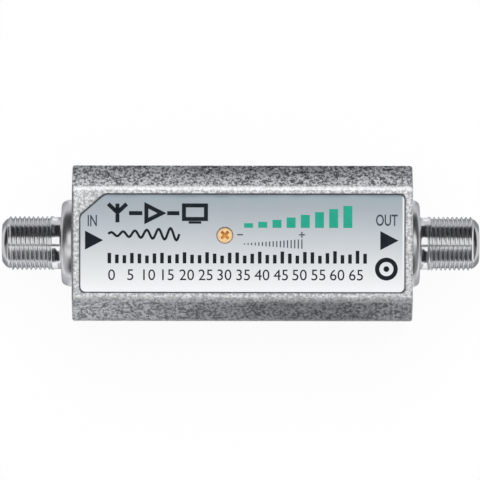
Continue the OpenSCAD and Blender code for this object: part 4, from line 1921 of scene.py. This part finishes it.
@dataclass(frozen=True)
class Card:
    """A plain grey card, in metres, which only mirrors show."""

    name: str
    centre: Place
    size: Point
    grey: float
    blue_share: float = 1.03

    def lay(self) -> Piece:
        """Make the card.

        Returns:
            The card with its material.
        """
        card = Bench.sheet(self.size, self.centre)
        card.name = self.name
        colour = (self.grey, self.grey, self.blue_share * self.grey, 1.0)
        card.data.materials.append(coat(self.name, lambda tree: tree.glow(colour)))
        return card


@dataclass
class Studio:
    """White floor, soft overhead light, a dark screen for the metal to mirror, and the camera.

    Sizes are in metres, apart from the bands of the screen's shading, which are in millimetres.
    """

    view: Place = (-0.00041, 0.000586, 0.920)
    roll: float = 0.0017
    lens: float = 390.6
    sensor: float = 36.0
    view_end: float = 100.0
    floor_size: float = 12.0
    floor_drop: float = 0.00002
    floor_colour: Colour = (0.96, 0.96, 0.96, 1.0)
    floor_glow: float = 0.94
    lamp_size: float = 1.5
    lamp_place: Place = (0.0, 0.7, 1.3)
    lamp_power: float = 15.5
    lamp_tilt: float = -0.5
    ambient: float = 0.5
    screen_x: float = 0.30
    screen_y: float = 0.13
    screen_up: float = 0.257
    screen_down: float = 0.245
    screen_tilt: float = 0.06
    screen_tilt_x: float = 0.04
    foot_band: Point = (8.0, 28.0)
    foot_l: float = 40.0
    ends_band: Point = (45.0, 105.0)
    sides_band: Point = (-60.0, -15.0)
    far: float = 100.0
    near_dark: Colour = (0.02, 0.021, 0.024, 1.0)
    far_dark: Colour = (0.021, 0.021, 0.023, 1.0)
    left_pale: Colour = (0.45, 0.45, 0.46, 1.0)
    right_pale: Colour = (0.22, 0.22, 0.23, 1.0)
    back_dark: Colour = (0.05, 0.05, 0.055, 1.0)
    near_foot: Stops = (
        (0.0, (0.85, 0.86, 0.9, 1.0)),
        (0.3, (0.5, 0.51, 0.54, 1.0)),
        (0.6, (0.22, 0.23, 0.25, 1.0)),
        (0.75, (0.2, 0.21, 0.23, 1.0)),
        (1.0, (0.5, 0.51, 0.53, 1.0)),
    )
    far_foot: Stops = (
        (0.0, (0.58, 0.58, 0.59, 1.0)),
        (0.3, (0.5, 0.5, 0.51, 1.0)),
        (0.6, (0.38, 0.38, 0.39, 1.0)),
        (0.8, (0.42, 0.42, 0.43, 1.0)),
        (1.0, (0.78, 0.78, 0.79, 1.0)),
    )
    cards: tuple[Card, ...] = (
        # This card lies on the floor behind the part as painted floor shade for the mirrors.
        Card("card_behind", (0.0, 0.075, 0.0005), (0.36, 0.1), 0.62),
        Card("camera_arm", (0.0, -0.085, 0.5), (0.9, 0.085), 0.1),
        Card("card_high", (-0.5, 0.185, 0.5), (0.44, 0.43), 0.05),
        # These four lie on the floor beside the sockets as painted floor shade for the mirrors.
        Card("card_above_input", (-0.0465, 0.0155, 0.0004), (0.028, 0.019), 0.5),
        Card("card_below_input", (-0.0465, -0.038, 0.0004), (0.028, 0.064), 0.5),
        Card("card_above_output", (0.0465, 0.0155, 0.0004), (0.028, 0.019), 0.5),
        Card("card_below_output", (0.0465, -0.038, 0.0004), (0.028, 0.064), 0.5),
    )

    def build(self) -> None:
        """Set up the camera, the floor, what the metal mirrors, the lamp and the world."""
        scene = bpy.context.scene
        scene.view_settings.view_transform = "Standard"
        self._camera(scene)
        self._floor()
        for piece in [self._screen(), *(card.lay() for card in self.cards)]:
            self._mirrored_only(piece)
        self._lamp()
        self._world(scene)

    def _camera(self, scene: bpy.types.Scene) -> None:
        """Look straight down on the label.

        Args:
            scene: The scene that gets the camera.
        """
        camera = Bench.add(bpy.ops.object.camera_add, location=self.view, rotation=(0.0, 0.0, self.roll))
        camera.data.lens = self.lens
        camera.data.sensor_width = self.sensor
        camera.data.clip_end = self.view_end
        scene.camera = camera

    @staticmethod
    def _seen(tree: Tree) -> Wire:
        """Tell camera, mirror and see-through rays from the rest.

        Args:
            tree: The node tree of a material or of the world.

        Returns:
            1 for those rays and 0 for the rest.
        """
        rays = ("Is Camera Ray", "Is Glossy Ray", "Is Transmission Ray")
        camera, glossy, through = (tree.node("ShaderNodeLightPath", out=ray) for ray in rays)
        return camera.larger(glossy).larger(through)

    def _floor(self) -> None:
        """Lay a white floor that keeps a faint shadow."""
        floor = Bench.sheet((self.floor_size, self.floor_size), (0.0, 0.0, -self.floor_drop))
        floor.name = "floor"
        floor.data.materials.append(coat("floor_white", self._floor_shader))

    def _floor_shader(self, tree: Tree) -> Wire:
        """Build the floor's shader, which is white from above and clear from below.

        Args:
            tree: The material's node tree.

        Returns:
            The shader.
        """
        matte = tree.node("ShaderNodeBsdfDiffuse", None, {"Color": self.floor_colour})
        lit = {0: self.floor_glow * self._seen(tree), 1: matte, 2: tree.glow(WHITE)}
        above = tree.node("ShaderNodeMixShader", None, lit)
        below = tree.node("ShaderNodeNewGeometry", out="Backfacing")
        clear = tree.node("ShaderNodeBsdfTransparent")
        return tree.node("ShaderNodeMixShader", None, {0: below, 1: above, 2: clear})

    def _screen(self) -> Piece:
        """Stand an oval screen round the part, higher behind it and askew in front.

        Returns:
            The screen with its material.
        """
        screen = Bench.add(bpy.ops.mesh.primitive_circle_add, vertices=96, radius=1.0, location=ORIGIN)
        screen.name = "screen"
        screen.scale = (self.screen_x, self.screen_y, 1.0)
        Bench.fix(screen)
        with Bench.editing(screen, Part.EDGE):
            Bench.pull((0.0, 0.0, (self.screen_up + self.screen_down) / 2))
        Bench.reshape(screen, self._lean)
        screen.data.materials.append(coat("screen_dark", self._screen_shader))
        return screen

    def _lean(self, point: Vector) -> None:
        """Raise a point of the screen's upper rim at the back, and askew at the front.

        Args:
            point: A vertex's place, which is moved where it lies on the upper rim.
        """
        if point.z > 0.0:
            back = point.y / self.screen_y
            askew = max(-1.0, min(1.0, point.x / self.screen_tilt_x))
            point.z += (self.screen_up - self.screen_down) / 2 * back
            point.z += self.screen_tilt * max(-back, 0.0) * askew

    def _screen_shader(self, tree: Tree) -> Wire:
        """Build the screen's shader, which is dark above a paler foot and pale at its near ends.

        Args:
            tree: The material's node tree.

        Returns:
            The shader.
        """
        x, y, z = (tree.along(axis) for axis in "XYZ")
        low = z.fall(*self.foot_band)
        share = x.rise(-self.foot_l, self.foot_l)
        near_side = tree.mix(low, self.near_dark, tree.ramp(share, self.near_foot))
        far_side = tree.mix(low, self.far_dark, tree.ramp(share, self.far_foot))
        pale = tree.mix(x.rise(-self.far, self.far), self.left_pale, self.right_pale)
        ends = tree.mix(y.rise(*self.sides_band), pale, self.back_dark)
        shade = tree.mix(y.rise(-self.far, self.far), near_side, far_side)
        return tree.glow(tree.mix(abs(x).rise(*self.ends_band), shade, ends))

    @staticmethod
    def _mirrored_only(piece: Piece) -> None:
        """Stage a piece that only mirrors show.

        Args:
            piece: The screen or a card.
        """
        piece.visible_camera = False
        piece.visible_diffuse = False
        piece.visible_shadow = False

    def _lamp(self) -> None:
        """Hang one broad soft lamp overhead."""
        tilt = (self.lamp_tilt, 0.0, 0.0)
        lamp = Bench.add(bpy.ops.object.light_add, type="AREA", location=self.lamp_place, rotation=tilt)
        lamp.data.shape = "DISK"
        lamp.data.size = self.lamp_size
        lamp.data.energy = self.lamp_power
        lamp.visible_camera = False
        lamp.visible_glossy = False

    def _world(self, scene: bpy.types.Scene) -> None:
        """Surround the scene with white that lights it only softly.

        Args:
            scene: The scene that gets the world.
        """
        world = scene.world or bpy.data.worlds.new("World")
        scene.world = world
        world.use_nodes = True
        tree = Tree(world.node_tree)
        strength = self.ambient + (1.0 - self.ambient) * self._seen(tree)
        white = tree.node("ShaderNodeBackground", None, {"Color": WHITE, "Strength": strength})
        tree.node("ShaderNodeOutputWorld", None, {"Surface": white})


def finishes(case: Box, label: Box, rotor: Box, axis: Vector) -> dict[str, Finish]:
    """List the finish of each material slot.

    Args:
        case: Box of the case.
        label: Box of the label.
        rotor: Box of the trimmer's rotor.
        axis: A point on the trimmer's axis.

    Returns:
        The finishes by slot.
    """
    film = (
        (0.0, srgb(245, 247, 249)),
        (0.18, srgb(230, 233, 234)),
        (0.34, srgb(216, 220, 223)),
        (0.5, srgb(201, 206, 211)),
        (0.67, srgb(187, 194, 199)),
        (0.83, srgb(173, 181, 187)),
        (0.97, srgb(161, 173, 181)),
        # From 0.97 to the upper edge the film takes a painted shadow of the recess's lip.
        (1.0, srgb(130, 140, 148)),
    )
    made = [
        CastMetal(
            "cast_nickel",
            case,
            label,
            face_light=srgb(248, 249, 250),
            face_dark=srgb(184, 185, 187),
            # The slopes' colours are the face's metal painted darker, as shade.
            slope_light=srgb(206, 209, 213),
            slope_dark=srgb(74, 77, 82),
            wall_light=srgb(190, 192, 195),
            wall_dark=srgb(138, 140, 144),
            # Painted shade in the narrow gap round the label.
            seam_shade=srgb(88, 90, 94),
            # Painted highlight along the bends beside the front.
            ridge=srgb(252, 252, 253),
            # Painted dark reflection along the input end's rim.
            rim=srgb(112, 113, 117),
        ),
        SheetMetal("tinned_sheet", srgb(214, 216, 218), srgb(168, 170, 173)),
        Film("label_film", label, film, margin=srgb(240, 242, 243)),
        TurnedMetal(
            "bright_nickel",
            light=srgb(247, 247, 248),
            dark=srgb(122, 122, 126),
            edge=srgb(205, 206, 210),
            axis_z=case.centre.z,
        ),
        Moulded("cream_plastic", srgb(242, 237, 222), srgb(226, 218, 198)),
        SheetMetal(
            "contact_brass",
            srgb(226, 190, 118),
            srgb(176, 138, 70),
            lines=Grain(1.0, 4.0, (6.0, 0.3, 0.3)),
        ),
        SheetMetal("plated_steel", srgb(212, 212, 210), srgb(160, 160, 158), lines=Grain(3.0, 4.0)),
        SolderMask("board_green", srgb(46, 118, 70), srgb(22, 78, 44)),
        Moulded("black_plastic", srgb(44, 44, 46), srgb(30, 30, 32)),
        Moulded(
            "carbon_track",
            srgb(62, 56, 52),
            srgb(40, 36, 34),
            clouds=Grain(1.5, 3.0),
            grain=Grain(12.0),
            depth_mm=0.01,
            rough=0.6,
        ),
        SheetMetal(
            "tinned_wire",
            srgb(222, 222, 218),
            srgb(180, 180, 176),
            lines=Grain(1.0, 4.0, (0.4, 0.4, 4.0)),
        ),
        RotorPlastic(
            "orange_plastic",
            face=srgb(248, 210, 156),
            slot_shade=srgb(224, 168, 66),
            rim=srgb(206, 184, 146),
            centre=tuple(axis),
            top=rotor.high.z,
        ),
        Moulded("chip_ceramic", srgb(190, 162, 122), srgb(160, 132, 96)),
        Wound("copper_wire", srgb(206, 122, 74), srgb(92, 42, 22), "Z"),
        Moulded(
            "ferrite",
            srgb(70, 70, 73),
            srgb(46, 46, 49),
            clouds=Grain(1.2, 3.0),
            grain=Grain(5.0),
            depth_mm=0.02,
            rough=0.55,
        ),
        Moulded(
            "capacitor_can",
            srgb(44, 50, 88),
            srgb(32, 38, 70),
            clouds=Grain(0.4, 3.0),
            grain=Grain(3.0),
            depth_mm=0.004,
            rough=0.35,
        ),
    ]
    return {finish.name: finish for finish in made}


def inks() -> dict[Ink, Finish]:
    """List the finish of each ink.

    Returns:
        The finishes by ink.
    """
    colours = {
        Ink.DARK: (srgb(24, 30, 37), srgb(31, 37, 44)),
        Ink.GREY: (srgb(62, 70, 80), srgb(74, 82, 92)),
        Ink.TEAL: (srgb(40, 164, 138), srgb(48, 170, 144)),
    }
    grains = {"clouds": Grain(0.5, 3.0), "grain": Grain(10.0)}
    matt = {"depth_mm": 0.003, "rough": 0.5, "gloss": 0.15}
    return {ink: Moulded(f"ink_{ink.value}", *pair, **grains, **matt) for ink, pair in colours.items()}


@dataclass
class Amplifier:
    """The whole part: its new pieces, and the finishes of all."""

    frame: dict[str, object]
    screw_head_r: float = 2.0
    input_flange_t: float = 2.0
    output_flange_t: float = 1.4
    case: Box = field(init=False)
    label: Box = field(init=False)
    rotor: Box = field(init=False)
    axis: Vector = field(init=False)
    finishes: dict[str, Finish] = field(init=False)

    def __post_init__(self) -> None:
        """Read the sizes that the pieces share from the frame."""
        self.case = Box.of("housing")
        self.label = Box.of("label")
        self.rotor = Box.of("trimmer_rotor")
        self.axis = Vector(self.frame["joints"][0]["pos_m"]) / MM
        self.finishes = finishes(self.case, self.label, self.rotor, self.axis)

    def make(self, part: SubAssembly, *nodes: str) -> Piece:
        """Build a sub-assembly and dress it with the finish of its slot."""
        return part.dress(part.build(), self.finishes[part.slot], *nodes)

    def build(self) -> Iterator[Piece]:
        """Make each new piece in order.

        Yields:
            The piece, dressed and handed to the frame.
        """
        shape = LabelShape(self.label.size.x, self.label.size.y)
        posts = Box.of("board_screws").high - Vector((self.screw_head_r, self.screw_head_r, 0.0))
        post_z = Box.of("circuit_board").high.z
        yield self.make(CaseShell(self.case, shape, self.axis, posts, post_z), "housing")
        yield self.make(BackPlate(Box.of("back_cover")), "back_cover")
        yield self.make(LabelPlate(self.label, shape, self.axis), "label")
        for ink, finish in inks().items():
            layer = LabelPrint(ink, Pen(self.label.high.z), self.axis)
            yield layer.dress(layer.build(), finish)
        flanges = {End.INPUT: self.input_flange_t, End.OUTPUT: self.output_flange_t}
        for end, flange_t in flanges.items():
            node = f"{end.value}_socket"
            yield self.make(Socket(end, Box.of(node), self.case.high.x, self.case.centre.z, flange_t), node)
        yield self.make(GainRotor(self.rotor, self.axis), "trimmer_rotor")

    def dress_frame(self) -> None:
        """Give every frame node the finish of its material slot."""
        for entry in self.frame["record"]["subparts"]:
            self.finishes[entry["material_slot"]].dress(self.frame["nodes"][entry["node"]])
        LOG.info("dressed %d frame nodes", len(self.frame["nodes"]))


def main() -> None:
    """Build the studio and the part, and report each piece with its number of faces."""
    logging.basicConfig(level=logging.INFO, format="%(name)s: %(message)s")
    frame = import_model()
    Studio().build()
    amplifier = Amplifier(frame)
    amplifier.dress_frame()
    for piece in amplifier.build():
        LOG.info("%s: %d faces", piece.name, len(piece.data.polygons))


if __name__ == "__main__":
    main()
